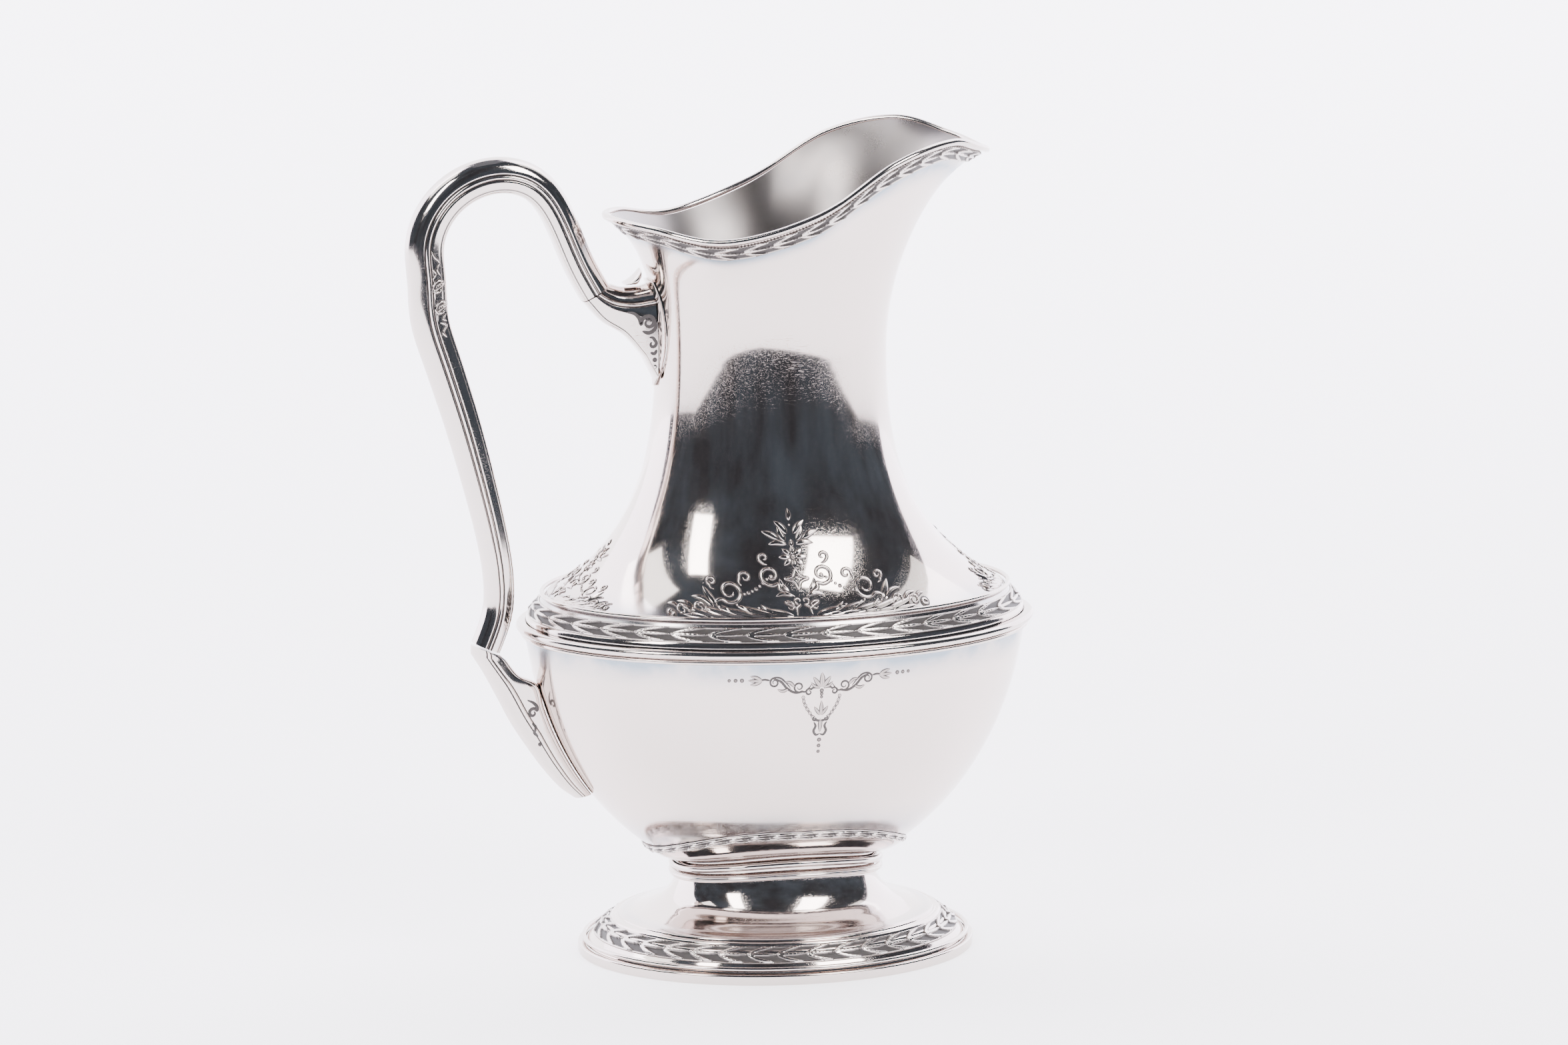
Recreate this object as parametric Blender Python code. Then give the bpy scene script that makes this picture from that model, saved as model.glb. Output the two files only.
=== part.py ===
"""Footed silver water pitcher, as the separate pieces that a silversmith solders together.

Metres, +Z up. The spout points along +X, the handle along -X, and the mirror plane is Y = 0.
The vessel is drawn about its own vertical axis and then stands at AXIS_X, which puts the
origin below the middle of the whole object's box, on the surface that the foot rests on.
"""
from math import asin, cos, pi, radians, sin

import bmesh
import bpy
import numpy as np
from mathutils import Vector
from mathutils.bvhtree import BVHTree

# Whole object
SPOUT_REACH = 0.0663           # from the vessel's axis to the tip of the lip
GAP = 0.0003                   # solder gap between neighbouring pieces
SHEET = 0.0011                 # thickness of the sheet silver
SEGMENTS = 48                  # facets around the vessel
WIRE_SIDES = 6                 # facets around a wire

# Bowl: the lower part of an ellipsoid
BOWL_A = 0.0779
BOWL_B = 0.0554
BOWL_H = 0.0900
BOWL_CENTRE_Z = 0.1110
BOWL_TOP_Z = 0.1000
BOWL_TURN = radians(30)        # below this the rings turn into the cup's outline
BOWL_SETBACK = 0.0006          # how far the flattened bottom keeps inside the cup's edge
BOWL_FLOOR_Z = 0.0350
BOWL_RINGS = 5
BOWL_BOTTOM = ((0.95, 0.06), (0.75, 0.5), (0.45, 1.0))   # shares of the width and of the drop

# Shoulder: the seam between bowl and upper body, and the slope above it
SEAM_A = 0.0772
SEAM_B = 0.0549
SHOULDER_A = 0.0718
SHOULDER_B = 0.0511
SHOULDER_Z = 0.1118
SLOPE_FOOT_Z = 0.1056
FLANGE_Z = 0.1004

# Neck: narrowest section, then the curve down to the shoulder
WAIST_A = 0.0356
WAIST_B = 0.0280
WAIST_Z = 0.1865
WAIST_SHIFT = -0.0016
NECK_DROP_Z = 0.1500
NECK_SPREAD = 0.21
NECK_SPREAD_Z = 0.1280
NECK_RISE = 0.0210             # how far the neck stays upright above its waist
UPPER_STATIONS = (0, 0.1, 0.22, 0.38, 0.6, 0.8)
LOWER_STATIONS = (0, 0.25, 0.45, 0.6, 0.73, 0.84, 0.93, 1)

# Mouth: an oval in plan whose edge dips behind the middle and climbs to the spout
MOUTH_X = 0.0092
MOUTH_FRONT = SPOUT_REACH - MOUTH_X
MOUTH_BACK = 0.0623
MOUTH_B = 0.0426
MOUTH_POINT = 1.92             # below 2 the oval is pointed towards the spout
MOUTH_EDGE = ((0, 0.2455), (25, 0.2482), (48, 0.2520), (72, 0.2473), (98, 0.2322),
              (122, 0.2251), (150, 0.2279), (180, 0.2288))
FLARE_SIDE = radians(58)       # slope of the wall at the edge, from level
FLARE_SPOUT = radians(26)
FLARE_BACK = radians(40)
FLARE_LENGTH = 0.0125
FLARE_LENGTH_SPOUT = 0.0230

# Mouldings
RIM_WIRE = 0.0012              # radius
BORDER = 0.0009                # thickness of a leaf border
BORDER_EDGE = 0.7              # share of that thickness left along its two edges
SHOULDER_BORDER = (0.2, 0.55, 0.9)      # stations down the slope
RIM_BORDER_TOP = 0.0004
RIM_BORDER_WIDTH = 0.0056
BEAD_WIRE = 0.0007             # radius
BEAD_SEAT = (0.55, 0.95)       # where the bead's centre lies outside the shoulder's top edge
BAND_REACH = 0.0031            # how far the shoulder moulding stands out from the seam
BAND_TOP_Z = 0.1043
BAND_BOTTOM_Z = 0.1016
BAND_ROUND = 0.0006            # rounding of the larger mouldings
LIP_REACH = 0.0017
LIP_BOTTOM_Z = 0.0999
LIP_ROUND = 0.0004             # rounding of the smaller ones
SHOULDER_REACH = SEAM_A + BAND_REACH

# Foot: cup under the bowl, collar, trumpet and rim. Flanks of the upper rings are raised.
CUP_A = 0.0408
CUP_B = 0.0372
CUP_SHIFT = -0.0008
CUP_SQUARE = 2.2               # above 2 the cup's oval is squarer than an ellipse
CUP_NECK = (0.0296, 0.0333, 0.0276, 0.0048)
CUP_RINGS = 5
CUP_SIDE = 0.45                # share of its height over which the cup's side stays steep
CUP_TUCK = 0.0012
CUP_FLARE = 0.0042
CUP_FLARE_RISE = 0.0010
CUP_BORDER = (0.04, 0.4, 0.8)
COLLAR_UPPER = (0.0274, 0.0308, 0.0254, 0.0043)
COLLAR_LOWER = (0.0247, 0.0308, 0.0252, 0.0034)
COLLAR_WIRE = 0.0011
TRUMPET = ((0.0290, 0.0308, 0.0254, 0.0046), (0.0262, 0.0307, 0.0253, 0.0038),
           (0.0235, 0.0309, 0.0254, 0.0030), (0.0205, 0.0322, 0.0266, 0.0016),
           (0.0175, 0.0346, 0.0288, 0.0006), (0.0150, 0.0386, 0.0324, 0.0001),
           (0.0130, 0.0436, 0.0368, 0.0), (0.0115, 0.0492, 0.0412, 0.0),
           (0.0102, 0.0510, 0.0427, 0.0), (0.0052, 0.0572, 0.0470, 0.0),
           (0.0034, 0.0589, 0.0479, 0.0), (0.0004, 0.0591, 0.0480, 0.0))
FOOT_A = 0.0592
FOOT_B = 0.0481
FOOT_REACH = 0.0023            # how far the foot rim stands out from the trumpet
FOOT_RIM_TOP_Z = 0.0032
FOOT_BEAD_Z = 0.0046
FOOT_BEAD_REACH = 0.0004
FOOT_BORDER_LEVELS = (8, 9)    # the two trumpet levels that the foot's leaf border spans
FOOT_BORDER = (0, 0.45, 0.9)

# Handle: centre line in the mirror plane, from the kink over the arch to the neck
ARCH_X = -0.0852
ARCH_Z = 0.2185
ARCH_RADIUS = 0.0238
ARCH_TURNS = range(200, 79, -30)        # degrees from level, over the top towards the neck
HANDLE_LEG = ((-0.0908, 0.0985), (-0.0868, 0.1090), (-0.0866, 0.1200), (-0.0886, 0.1330),
              (-0.0922, 0.1485), (-0.0974, 0.1680), (-0.1030, 0.1860), (-0.1075, 0.2010))
HANDLE_ARM = ((-0.0745, 0.2392), (-0.0702, 0.2345), (-0.0668, 0.2280), (-0.0640, 0.2212),
              (-0.0609, 0.2137), (-0.0563, 0.2056))
HANDLE_WIDTH = 0.0112
HANDLE_DEPTH = ((0.0, 0.0088), (0.5, 0.0116), (0.75, 0.0110), (0.9, 0.0097), (1.0, 0.0098))
HANDLE_WALL = 0.0014
HANDLE_STEPS = 26
HANDLE_FACETS = 8
HANDLE_SIDE = 0.8              # below 1 the handle's sides are flatter than an ellipse
HANDLE_REACH = 0.1146          # from the vessel's axis to the back of the handle
AXIS_X = (HANDLE_REACH - SHOULDER_REACH) / 2

# Where the handle meets the vessel
ROOT_HALF_WIDTH = 0.0058
PLATE_THICKNESS = 0.0008
PLATE_OUTLINE = ((0.2085, 0.0050), (0.2040, 0.0070), (0.1970, 0.0082), (0.1890, 0.0080),
                 (0.1825, 0.0058), (0.1765, 0.0014))
UPPER_ROOT = (((-0.0515, 0.2079), (-0.0603, 0.2029)), ((-0.0482, 0.2069), (-0.0548, 0.1968)),
              ((-0.0446, 0.2068), (-0.0478, 0.1922)), ((-0.0418, 0.2072), (-0.0414, 0.1850)))
UPPER_ROOT_WALL = (0.2076, 0.1785)
ROOT_BACK = (1.0, 0.6, 0.2)    # rings that close the root against the plate
ROOT_GAP = 0.0007
SPUR = ((-0.0472, 0.2074, 0.2082, 0.0030), (-0.0452, 0.2074, 0.2094, 0.0036),
        (-0.0434, 0.2075, 0.2112, 0.0036), (-0.0424, 0.2090, 0.2124, 0.0030))
SECTION_FACETS = 12
SECTION_SIDE = 0.6             # below 1 a root's section is a rounded box
LOWER_ROOT_FREE = (((-0.0951, 0.0993), (-0.0866, 0.0961)), ((-0.0953, 0.0966), (-0.0848, 0.0946)),
                   ((-0.0913, 0.0900), (-0.0808, 0.0895)))
LOWER_ROOT_ON_BOWL = (((-0.0875, 0.0828), 0.0864), ((-0.0832, 0.0745), 0.0795),
                      ((-0.0779, 0.0662), 0.0710), ((-0.0722, 0.0583), 0.0625),
                      ((-0.0675, 0.0531), 0.0560), ((-0.0636, 0.0502), 0.0512))
LOWER_ROOT_HALF_WIDTH = 0.0047
LOWER_TIP_HALF_WIDTH = 0.0030

SILVER = (0.82, 0.80, 0.79)
DARK_SILVER = (0.60, 0.60, 0.61)

ANGLES = np.arange(SEGMENTS) * 2 * pi / SEGMENTS
UP = np.array((0.0, 0.0, 1.0))


# ---------------------------------------------------------------- rings and curves

def oval(z, a, b, rise=0.0, shift=0.0, square=2.0):
    """A ring of points about the vessel's axis, with its flanks raised by rise."""
    c = np.cos(ANGLES)
    s = np.sin(ANGLES)
    x = shift + a * np.sign(c) * np.abs(c) ** (2 / square)
    y = b * np.sign(s) * np.abs(s) ** (2 / square)
    return np.stack((x, y, z + rise * np.sin(ANGLES) ** 2), axis=1)


def bezier(start, leave, arrive, end, t):
    """Point of a cubic Bezier curve."""
    s = 1 - t
    return s ** 3 * start + 3 * s * s * t * leave + 3 * s * t * t * arrive + t ** 3 * end


def smooth(knots, place):
    """Value at place of a smooth curve through (place, value) knots, level at both ends."""
    places = np.array([knot[0] for knot in knots], dtype=float)
    values = np.array([knot[1] for knot in knots], dtype=float)
    slopes = np.gradient(values, places)
    slopes[0] = 0.0
    slopes[-1] = 0.0
    i = np.clip(np.searchsorted(places, place) - 1, 0, len(places) - 2)
    span = places[i + 1] - places[i]
    t = (place - places[i]) / span
    leave = values[i] + slopes[i] * span / 3
    arrive = values[i + 1] - slopes[i + 1] * span / 3
    return bezier(values[i], leave, arrive, values[i + 1], t)


def through(points, count):
    """Evenly spaced points on a smooth curve through a few points."""
    points = np.array(points)
    lengths = np.linalg.norm(np.diff(points, axis=0), axis=1)
    places = np.concatenate(((0.0,), np.cumsum(lengths)))
    slopes = np.gradient(points, places, axis=0)
    result = []
    for place in np.linspace(0, places[-1], count):
        i = min(max(int(np.searchsorted(places, place)) - 1, 0), len(places) - 2)
        span = places[i + 1] - places[i]
        t = (place - places[i]) / span
        leave = points[i] + slopes[i] * span / 3
        arrive = points[i + 1] - slopes[i + 1] * span / 3
        result.append(bezier(points[i], leave, arrive, points[i + 1], t))
    return np.array(result)


def outward(rings):
    """Unit normals of a wall given as rings from top to bottom."""
    along = np.gradient(rings, axis=0)
    around = np.roll(rings, -1, axis=1) - np.roll(rings, 1, axis=1)
    normals = np.cross(along, around)
    return normals / np.linalg.norm(normals, axis=2, keepdims=True)


def plan_normals(ring):
    """Level unit normals of one ring, pointing away from the vessel's axis."""
    around = np.roll(ring, -1, axis=0) - np.roll(ring, 1, axis=0)
    normals = np.cross(around, UP)
    return normals / np.linalg.norm(normals, axis=1, keepdims=True)


# ---------------------------------------------------------------- the vessel's surfaces

def bowl_height(x, y):
    """Height of the bowl's outside above the point (x, y)."""
    return BOWL_CENTRE_Z - BOWL_H * np.sqrt(1 - (x / BOWL_A) ** 2 - (y / BOWL_B) ** 2)


def mouth_plan():
    """Plan of the mouth: the level outline of its edge."""
    c = np.cos(ANGLES)
    s = np.sin(ANGLES)
    power = np.where(c > 0, 2 / MOUTH_POINT, 1.0)
    reach = np.where(c > 0, MOUTH_FRONT, MOUTH_BACK)
    x = MOUTH_X + reach * np.sign(c) * np.abs(c) ** power
    y = MOUTH_B * np.sign(s) * np.abs(s) ** power
    turn = np.degrees(np.minimum(ANGLES, 2 * pi - ANGLES))
    return np.stack((x, y, smooth(MOUTH_EDGE, turn)), axis=1)


def mouth_slope(edge):
    """Direction in which the wall climbs out to the edge, and its handle length, all round."""
    c = np.cos(ANGLES)
    towards_spout = np.clip(c, 0, 1) ** 2
    towards_back = np.clip(-c, 0, 1) ** 2
    flare = (FLARE_SIDE + (FLARE_SPOUT - FLARE_SIDE) * towards_spout
             + (FLARE_BACK - FLARE_SIDE) * towards_back)
    length = FLARE_LENGTH + (FLARE_LENGTH_SPOUT - FLARE_LENGTH) * towards_spout ** 2
    climb = np.cos(flare)[:, None] * plan_normals(edge) + np.sin(flare)[:, None] * UP
    return climb, length[:, None]


def upper_wall(depth):
    """Ring of the upper neck. depth is 0 at the mouth and 1 at the waist."""
    edge = mouth_plan()
    climb, length = mouth_slope(edge)
    top = edge - climb * (2 * RIM_WIRE + GAP)
    waist = oval(WAIST_Z, WAIST_A, WAIST_B, shift=WAIST_SHIFT)
    return bezier(top, top - climb * length, waist + NECK_RISE * UP, waist, depth)


def below_mouth(distance):
    """Ring on the upper neck's outside, at a distance down the wall from its edge."""
    length = mouth_slope(mouth_plan())[1]
    return upper_wall(distance / (3 * length))


def lower_neck(t):
    """Ring between waist and shoulder. t is 0 at the waist and 1 at the shoulder."""
    spread = bezier(0.0, 0.0, NECK_SPREAD, 1.0, t)
    z = bezier(WAIST_Z, NECK_DROP_Z, NECK_SPREAD_Z, SHOULDER_Z, t)
    a = WAIST_A + (SHOULDER_A - WAIST_A) * spread
    b = WAIST_B + (SHOULDER_B - WAIST_B) * spread
    return oval(z, a, b, shift=WAIST_SHIFT * (1 - spread))


def slope(t):
    """Ring on the slope that the shoulder's leaf border lies on."""
    a = SHOULDER_A + (SEAM_A - SHOULDER_A) * t
    b = SHOULDER_B + (SEAM_B - SHOULDER_B) * t
    return oval(SHOULDER_Z + (SLOPE_FOOT_Z - SHOULDER_Z) * t, a, b)


def neck_outside():
    """The upper body's outside, from the mouth to its flange at the seam."""
    rings = [upper_wall(t) for t in UPPER_STATIONS]
    rings += [lower_neck(t) for t in LOWER_STATIONS]
    rings += [slope(1)]
    rings += [oval(FLANGE_Z, SEAM_A, SEAM_B)]
    return np.array(rings)


def bowl_ring(a, b, shift, square):
    """Ring of an oval plan, lying on the bowl's outside."""
    ring = oval(0.0, a, b, shift=shift, square=square)
    ring[:, 2] = bowl_height(ring[:, 0], ring[:, 1])
    return ring


def bowl_outside():
    """The bowl's outside, from its top edge down. Inside the cup its bottom is flattened."""
    top = asin((BOWL_CENTRE_Z - BOWL_TOP_Z) / BOWL_H)
    rings = []
    for turn in np.linspace(top, BOWL_TURN, BOWL_RINGS):
        spread = cos(turn)
        rings.append(oval(BOWL_CENTRE_Z - BOWL_H * sin(turn), BOWL_A * spread, BOWL_B * spread))
    start_a = BOWL_A * cos(BOWL_TURN)
    start_b = BOWL_B * cos(BOWL_TURN)
    for t in np.linspace(0, 1, BOWL_RINGS)[1:]:
        a = start_a + (CUP_A - BOWL_SETBACK - start_a) * t
        b = start_b + (CUP_B - BOWL_SETBACK - start_b) * t
        rings.append(bowl_ring(a, b, CUP_SHIFT * t, 2 + (CUP_SQUARE - 2) * t))
    edge = rings[-1]
    for shrink, level in BOWL_BOTTOM:
        ring = edge * (shrink, shrink, 1.0)
        ring[:, 2] += (BOWL_FLOOR_Z - ring[:, 2]) * level
        rings.append(ring)
    return np.array(rings)


def cup_outside():
    """The cup below the bowl: its top edge follows the bowl, and it draws in to the collar."""
    top = bowl_ring(CUP_A, CUP_B, CUP_SHIFT, CUP_SQUARE) - GAP * UP
    neck = oval(*CUP_NECK)
    lift = CUP_SIDE * (top[:, 2] - neck[:, 2])[:, None] * UP
    leave = top - lift - CUP_TUCK * plan_normals(top)
    arrive = neck + CUP_FLARE * plan_normals(neck) + CUP_FLARE_RISE * UP
    return np.array([bezier(top, leave, arrive, neck, t) for t in np.linspace(0, 1, CUP_RINGS)])


# ---------------------------------------------------------------- solids

def material(name, colour, roughness):
    """Polished metal."""
    made = bpy.data.materials.new(name)
    made.use_nodes = True
    shader = made.node_tree.nodes["Principled BSDF"]
    shader.inputs["Base Color"].default_value = (*colour, 1.0)
    shader.inputs["Metallic"].default_value = 1.0
    shader.inputs["Roughness"].default_value = roughness
    return made


def piece(name, bm, stand, colour=SILVER, roughness=0.12):
    """A named object from a mesh, closed and facing out, standing with the vessel."""
    bmesh.ops.recalc_face_normals(bm, faces=bm.faces)
    mesh = bpy.data.meshes.new(name)
    bm.to_mesh(mesh)
    bm.free()
    mesh.materials.append(material(name + "_silver", colour, roughness))
    mesh.shade_smooth()
    mesh.set_sharp_from_angle(angle=radians(32))
    made = bpy.data.objects.new(name, mesh)
    made.parent = stand
    bpy.context.scene.collection.objects.link(made)
    return made


def loft(loops, join_ends=False):
    """Mesh through closed loops of points: capped at both ends, or joined into a ring."""
    bm = bmesh.new()
    rows = [[bm.verts.new(Vector(point)) for point in loop] for loop in loops]
    pairs = list(zip(rows[:-1], rows[1:]))
    if join_ends:
        pairs.append((rows[-1], rows[0]))
    for row, following in pairs:
        for i in range(len(row)):
            j = (i + 1) % len(row)
            bm.faces.new((row[i], row[j], following[j], following[i]))
    if not join_ends:
        bm.faces.new(rows[0])
        bm.faces.new(rows[-1])
    return bm


def sheet_piece(name, rings, stand, thickness=SHEET, **look):
    """A spun or raised sheet wall. Its thickness lies inside the given rings."""
    inside = rings - outward(rings) * thickness
    return piece(name, loft(list(rings) + list(inside[::-1]), join_ends=True), stand, **look)


def border_piece(name, rings, stand):
    """A stamped strip laid on a wall, standing one solder gap clear of it."""
    normals = outward(rings)
    back = rings + normals * GAP
    face = rings + normals * (GAP + BORDER)
    edges = back + (face - back) * BORDER_EDGE
    crown = [edges[0]] + list(face[1:-1]) + [edges[-1]]
    return piece(name, loft(crown + list(back[::-1]), join_ends=True), stand, colour=DARK_SILVER)


def moulding_piece(name, path, outline, stand, up=None, out=None):
    """A drawn moulding bent round a ring. outline holds (outwards, upwards) pairs."""
    if out is None:
        out = plan_normals(path)
    if up is None:
        up = np.broadcast_to(UP, path.shape)
    loops = [path + out * pair[0] + up * pair[1] for pair in outline]
    return piece(name, loft(loops, join_ends=True), stand)


def round_outline(radius, centre=(0.0, 0.0)):
    """Outline of a round wire."""
    turns = [2 * pi * i / WIRE_SIDES for i in range(WIRE_SIDES)]
    return [(centre[0] + radius * cos(t), centre[1] + radius * sin(t)) for t in turns]


# ---------------------------------------------------------------- body pieces

def make_bowl(stand):
    """The lower body, raised from one sheet and closed below."""
    outside = bowl_outside()
    inside = outside - outward(outside) * SHEET
    bm = loft(list(inside[::-1]) + list(outside))
    return piece("bowl_shell", bm, stand)


def make_upper_body(stand):
    """Neck and shoulder in one sheet, with the mouldings soldered round them."""
    sheet_piece("neck_shell", neck_outside(), stand)
    border_piece("shoulder_leaf_border", np.array([slope(t) for t in SHOULDER_BORDER]), stand)
    shoulder = slope(0.0)
    lift = GAP + BEAD_WIRE
    bead = round_outline(BEAD_WIRE, centre=(BEAD_SEAT[0] * lift, BEAD_SEAT[1] * lift))
    moulding_piece("shoulder_bead_wire", shoulder, bead, stand)
    seam = oval(0.0, SEAM_A, SEAM_B)
    middle = (BAND_TOP_Z + BAND_BOTTOM_Z) / 2
    band = ((GAP, BAND_BOTTOM_Z), (BAND_REACH - BAND_ROUND, BAND_BOTTOM_Z), (BAND_REACH, middle),
            (BAND_REACH - BAND_ROUND, BAND_TOP_Z - BAND_ROUND / 2),
            (BAND_REACH - 2 * BAND_ROUND, BAND_TOP_Z), (GAP, BAND_TOP_Z))
    moulding_piece("shoulder_moulding", seam, band, stand)
    lip_top = BAND_BOTTOM_Z - GAP
    lip = ((2 * GAP, LIP_BOTTOM_Z), (LIP_REACH - LIP_ROUND, LIP_BOTTOM_Z),
           (LIP_REACH, (LIP_BOTTOM_Z + lip_top) / 2), (LIP_REACH - LIP_ROUND, lip_top),
           (2 * GAP, lip_top))
    moulding_piece("seam_wire", seam, lip, stand)


def make_mouth(stand):
    """Round wire on the mouth's edge and the leaf border below it."""
    edge = mouth_plan()
    climb = mouth_slope(edge)[0]
    across = np.cross(np.cross(plan_normals(edge), climb), climb)
    across /= np.linalg.norm(across, axis=1, keepdims=True)
    centre = edge - climb * RIM_WIRE
    moulding_piece("rim_wire", centre, round_outline(RIM_WIRE), stand, up=climb, out=across)
    steps = np.linspace(RIM_BORDER_TOP, RIM_BORDER_TOP + RIM_BORDER_WIDTH, 3)
    border_piece("rim_leaf_border", np.array([below_mouth(step) for step in steps]), stand)


# ---------------------------------------------------------------- foot pieces

def make_foot(stand):
    """Cup, collar rings, trumpet and the foot's edge."""
    cup = cup_outside()
    inside = cup - outward(cup) * SHEET
    under_bowl = bowl_height(inside[0, :, 0], inside[0, :, 1]) - 2 * GAP
    inside[0, :, 2] = np.minimum(inside[0, :, 2], under_bowl)
    piece("foot_cup", loft(list(cup) + list(inside[::-1]), join_ends=True), stand)
    strip = np.array([cup[0] + (cup[1] - cup[0]) * t for t in CUP_BORDER])
    border_piece("cup_leaf_border", strip, stand)
    wire = round_outline(COLLAR_WIRE, centre=(GAP + COLLAR_WIRE, 0.0))
    moulding_piece("collar_upper_ring", oval(*COLLAR_UPPER), wire, stand)
    moulding_piece("collar_lower_ring", oval(*COLLAR_LOWER), wire, stand)
    trumpet = np.array([oval(*level) for level in TRUMPET])
    sheet_piece("foot_trumpet", trumpet, stand)
    start, end = trumpet[list(FOOT_BORDER_LEVELS)]
    strip = np.array([start + (end - start) * t for t in FOOT_BORDER])
    border_piece("foot_leaf_border", strip, stand)
    base = oval(0.0, FOOT_A, FOOT_B)
    rim = ((GAP, 0.0), (FOOT_REACH - LIP_ROUND, 0.0), (FOOT_REACH, 2 * LIP_ROUND),
           (FOOT_REACH, FOOT_RIM_TOP_Z - 2 * LIP_ROUND), (FOOT_REACH - BAND_ROUND, FOOT_RIM_TOP_Z),
           (GAP, FOOT_RIM_TOP_Z))
    moulding_piece("foot_rim_ring", base, rim, stand)
    bead = round_outline(BEAD_WIRE, centre=(FOOT_BEAD_REACH, FOOT_BEAD_Z))
    moulding_piece("foot_bead_wire", base, bead, stand)


# ---------------------------------------------------------------- handle

def handle_route():
    """Centre line of the handle: the leg, a half circle over the top, and the arm."""
    arch = []
    for turn in ARCH_TURNS:
        x = ARCH_X + ARCH_RADIUS * cos(radians(turn))
        arch.append((x, ARCH_Z + ARCH_RADIUS * sin(radians(turn))))
    return through(list(HANDLE_LEG) + arch + list(HANDLE_ARM), HANDLE_STEPS)


def handle_half(side):
    """Loops of one stamped half of the handle, a channel open to the other half."""
    route = handle_route()
    tangents = np.gradient(route, axis=0)
    tangents /= np.linalg.norm(tangents, axis=1, keepdims=True)
    depths = smooth(HANDLE_DEPTH, np.linspace(0, 1, len(route)))
    loops = []
    for centre, tangent, depth in zip(route, tangents, depths):
        out = (-tangent[1], tangent[0])
        loop = []
        onwards = range(HANDLE_FACETS + 1)
        for inset, turns in ((0.0, onwards), (HANDLE_WALL, reversed(onwards))):
            for k in turns:
                turn = pi * k / HANDLE_FACETS
                n = (depth / 2 - inset) * cos(turn)
                w = (HANDLE_WIDTH / 2 - inset) * sin(turn) ** HANDLE_SIDE
                point = (centre[0] + out[0] * n, side * (w + GAP / 2), centre[1] + out[1] * n)
                loop.append(point)
        loops.append(loop)
    return loops


def wall_finder(target):
    """Function that gives the X of an outer wall, seen from the handle's side."""
    tree = BVHTree.FromPolygons([v.co for v in target.data.vertices],
                                [tuple(p.vertices) for p in target.data.polygons])

    def find(y, z):
        hit = tree.ray_cast(Vector((-2 * HANDLE_REACH, y, z)), Vector((1.0, 0.0, 0.0)))[0]
        return hit.x
    return find


def section(upper, lower, half_width):
    """Rounded upright section between two points of the mirror plane."""
    loop = []
    for k in range(SECTION_FACETS):
        turn = 2 * pi * k / SECTION_FACETS
        h = np.sign(cos(turn)) * abs(cos(turn)) ** SECTION_SIDE
        w = np.sign(sin(turn)) * abs(sin(turn)) ** SECTION_SIDE
        x = (upper[0] + lower[0]) / 2 + (upper[0] - lower[0]) / 2 * h
        z = (upper[1] + lower[1]) / 2 + (upper[1] - lower[1]) / 2 * h
        loop.append((x, half_width * w, z))
    return loop


def make_upper_joint(neck, stand):
    """Plate on the neck, the cast root between it and the handle, and the thumb spur."""
    wall = wall_finder(neck)
    rows = []
    for z, half in PLATE_OUTLINE:
        places = [half * k / 3 for k in range(-3, 4)]
        back = [(wall(y, z) - GAP, y, z) for y in places]
        face = [(wall(y, z) - GAP - PLATE_THICKNESS, y, z) for y in places]
        rows.append(back + face[::-1])
    piece("upper_handle_plate", loft(rows), stand)

    loops = [section(upper, lower, ROOT_HALF_WIDTH) for upper, lower in UPPER_ROOT]
    high, low = UPPER_ROOT_WALL
    flat = section((0.0, high), (0.0, low), ROOT_HALF_WIDTH)
    middle_z = (high + low) / 2
    for shrink in ROOT_BACK:
        ring = []
        for point in flat:
            y = point[1] * shrink
            z = middle_z + (point[2] - middle_z) * shrink
            ring.append((wall(y, z) - PLATE_THICKNESS - ROOT_GAP, y, z))
        loops.append(ring)
    piece("upper_handle_root", loft(loops), stand)

    spur = []
    for x, low_z, high_z, half in SPUR:
        spur.append(section((x, high_z), (x, low_z), half))
    piece("handle_thumb_spur", loft(spur), stand)


def make_lower_joint(bowl, stand):
    """The cast tongue below the handle's kink, lying along the bowl."""
    wall = wall_finder(bowl)
    stations = list(LOWER_ROOT_FREE)
    for outer, inner_z in LOWER_ROOT_ON_BOWL:
        stations.append((outer, (wall(0.0, inner_z) - GAP, inner_z)))
    loops = []
    for i, (outer, inner) in enumerate(stations):
        taper = i / (len(stations) - 1)
        half = LOWER_ROOT_HALF_WIDTH + (LOWER_TIP_HALF_WIDTH - LOWER_ROOT_HALF_WIDTH) * taper
        loop = section(outer, inner, half)
        if i >= len(LOWER_ROOT_FREE):
            loop = [(min(x, wall(y, z) - 1.5 * GAP), y, z) for x, y, z in loop]
        loops.append(loop)
    piece("lower_handle_root", loft(loops), stand)


def make_handle(stand):
    """The two stamped halves."""
    piece("handle_left_half", loft(handle_half(1)), stand)
    piece("handle_right_half", loft(handle_half(-1)), stand)


def main():
    for old in list(bpy.data.objects):
        bpy.data.objects.remove(old, do_unlink=True)
    stand = bpy.data.objects.new("pitcher_axis", None)
    stand.location = (AXIS_X, 0.0, 0.0)
    bpy.context.scene.collection.objects.link(stand)
    bowl = make_bowl(stand)
    make_upper_body(stand)
    make_mouth(stand)
    make_foot(stand)
    make_handle(stand)
    make_upper_joint(bpy.data.objects["neck_shell"], stand)
    make_lower_joint(bowl, stand)


main()
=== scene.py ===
"""Looks of the footed silver water pitcher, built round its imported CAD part.

Metres, +Z up, spout along +X. The vessel is drawn about its own axis, which stands at AXIS_X.
Walls are functions of the angle round that axis and of a station down the wall. Each CAD node is
replaced by a finer piece that follows the same wall, and the leaf borders, the chased ornament
and the engraving are real relief on those walls.
"""
from math import asin, cos, pi, radians, sin, tau

import bpy
import numpy as np
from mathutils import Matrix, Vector
from mathutils.bvhtree import BVHTree


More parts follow.
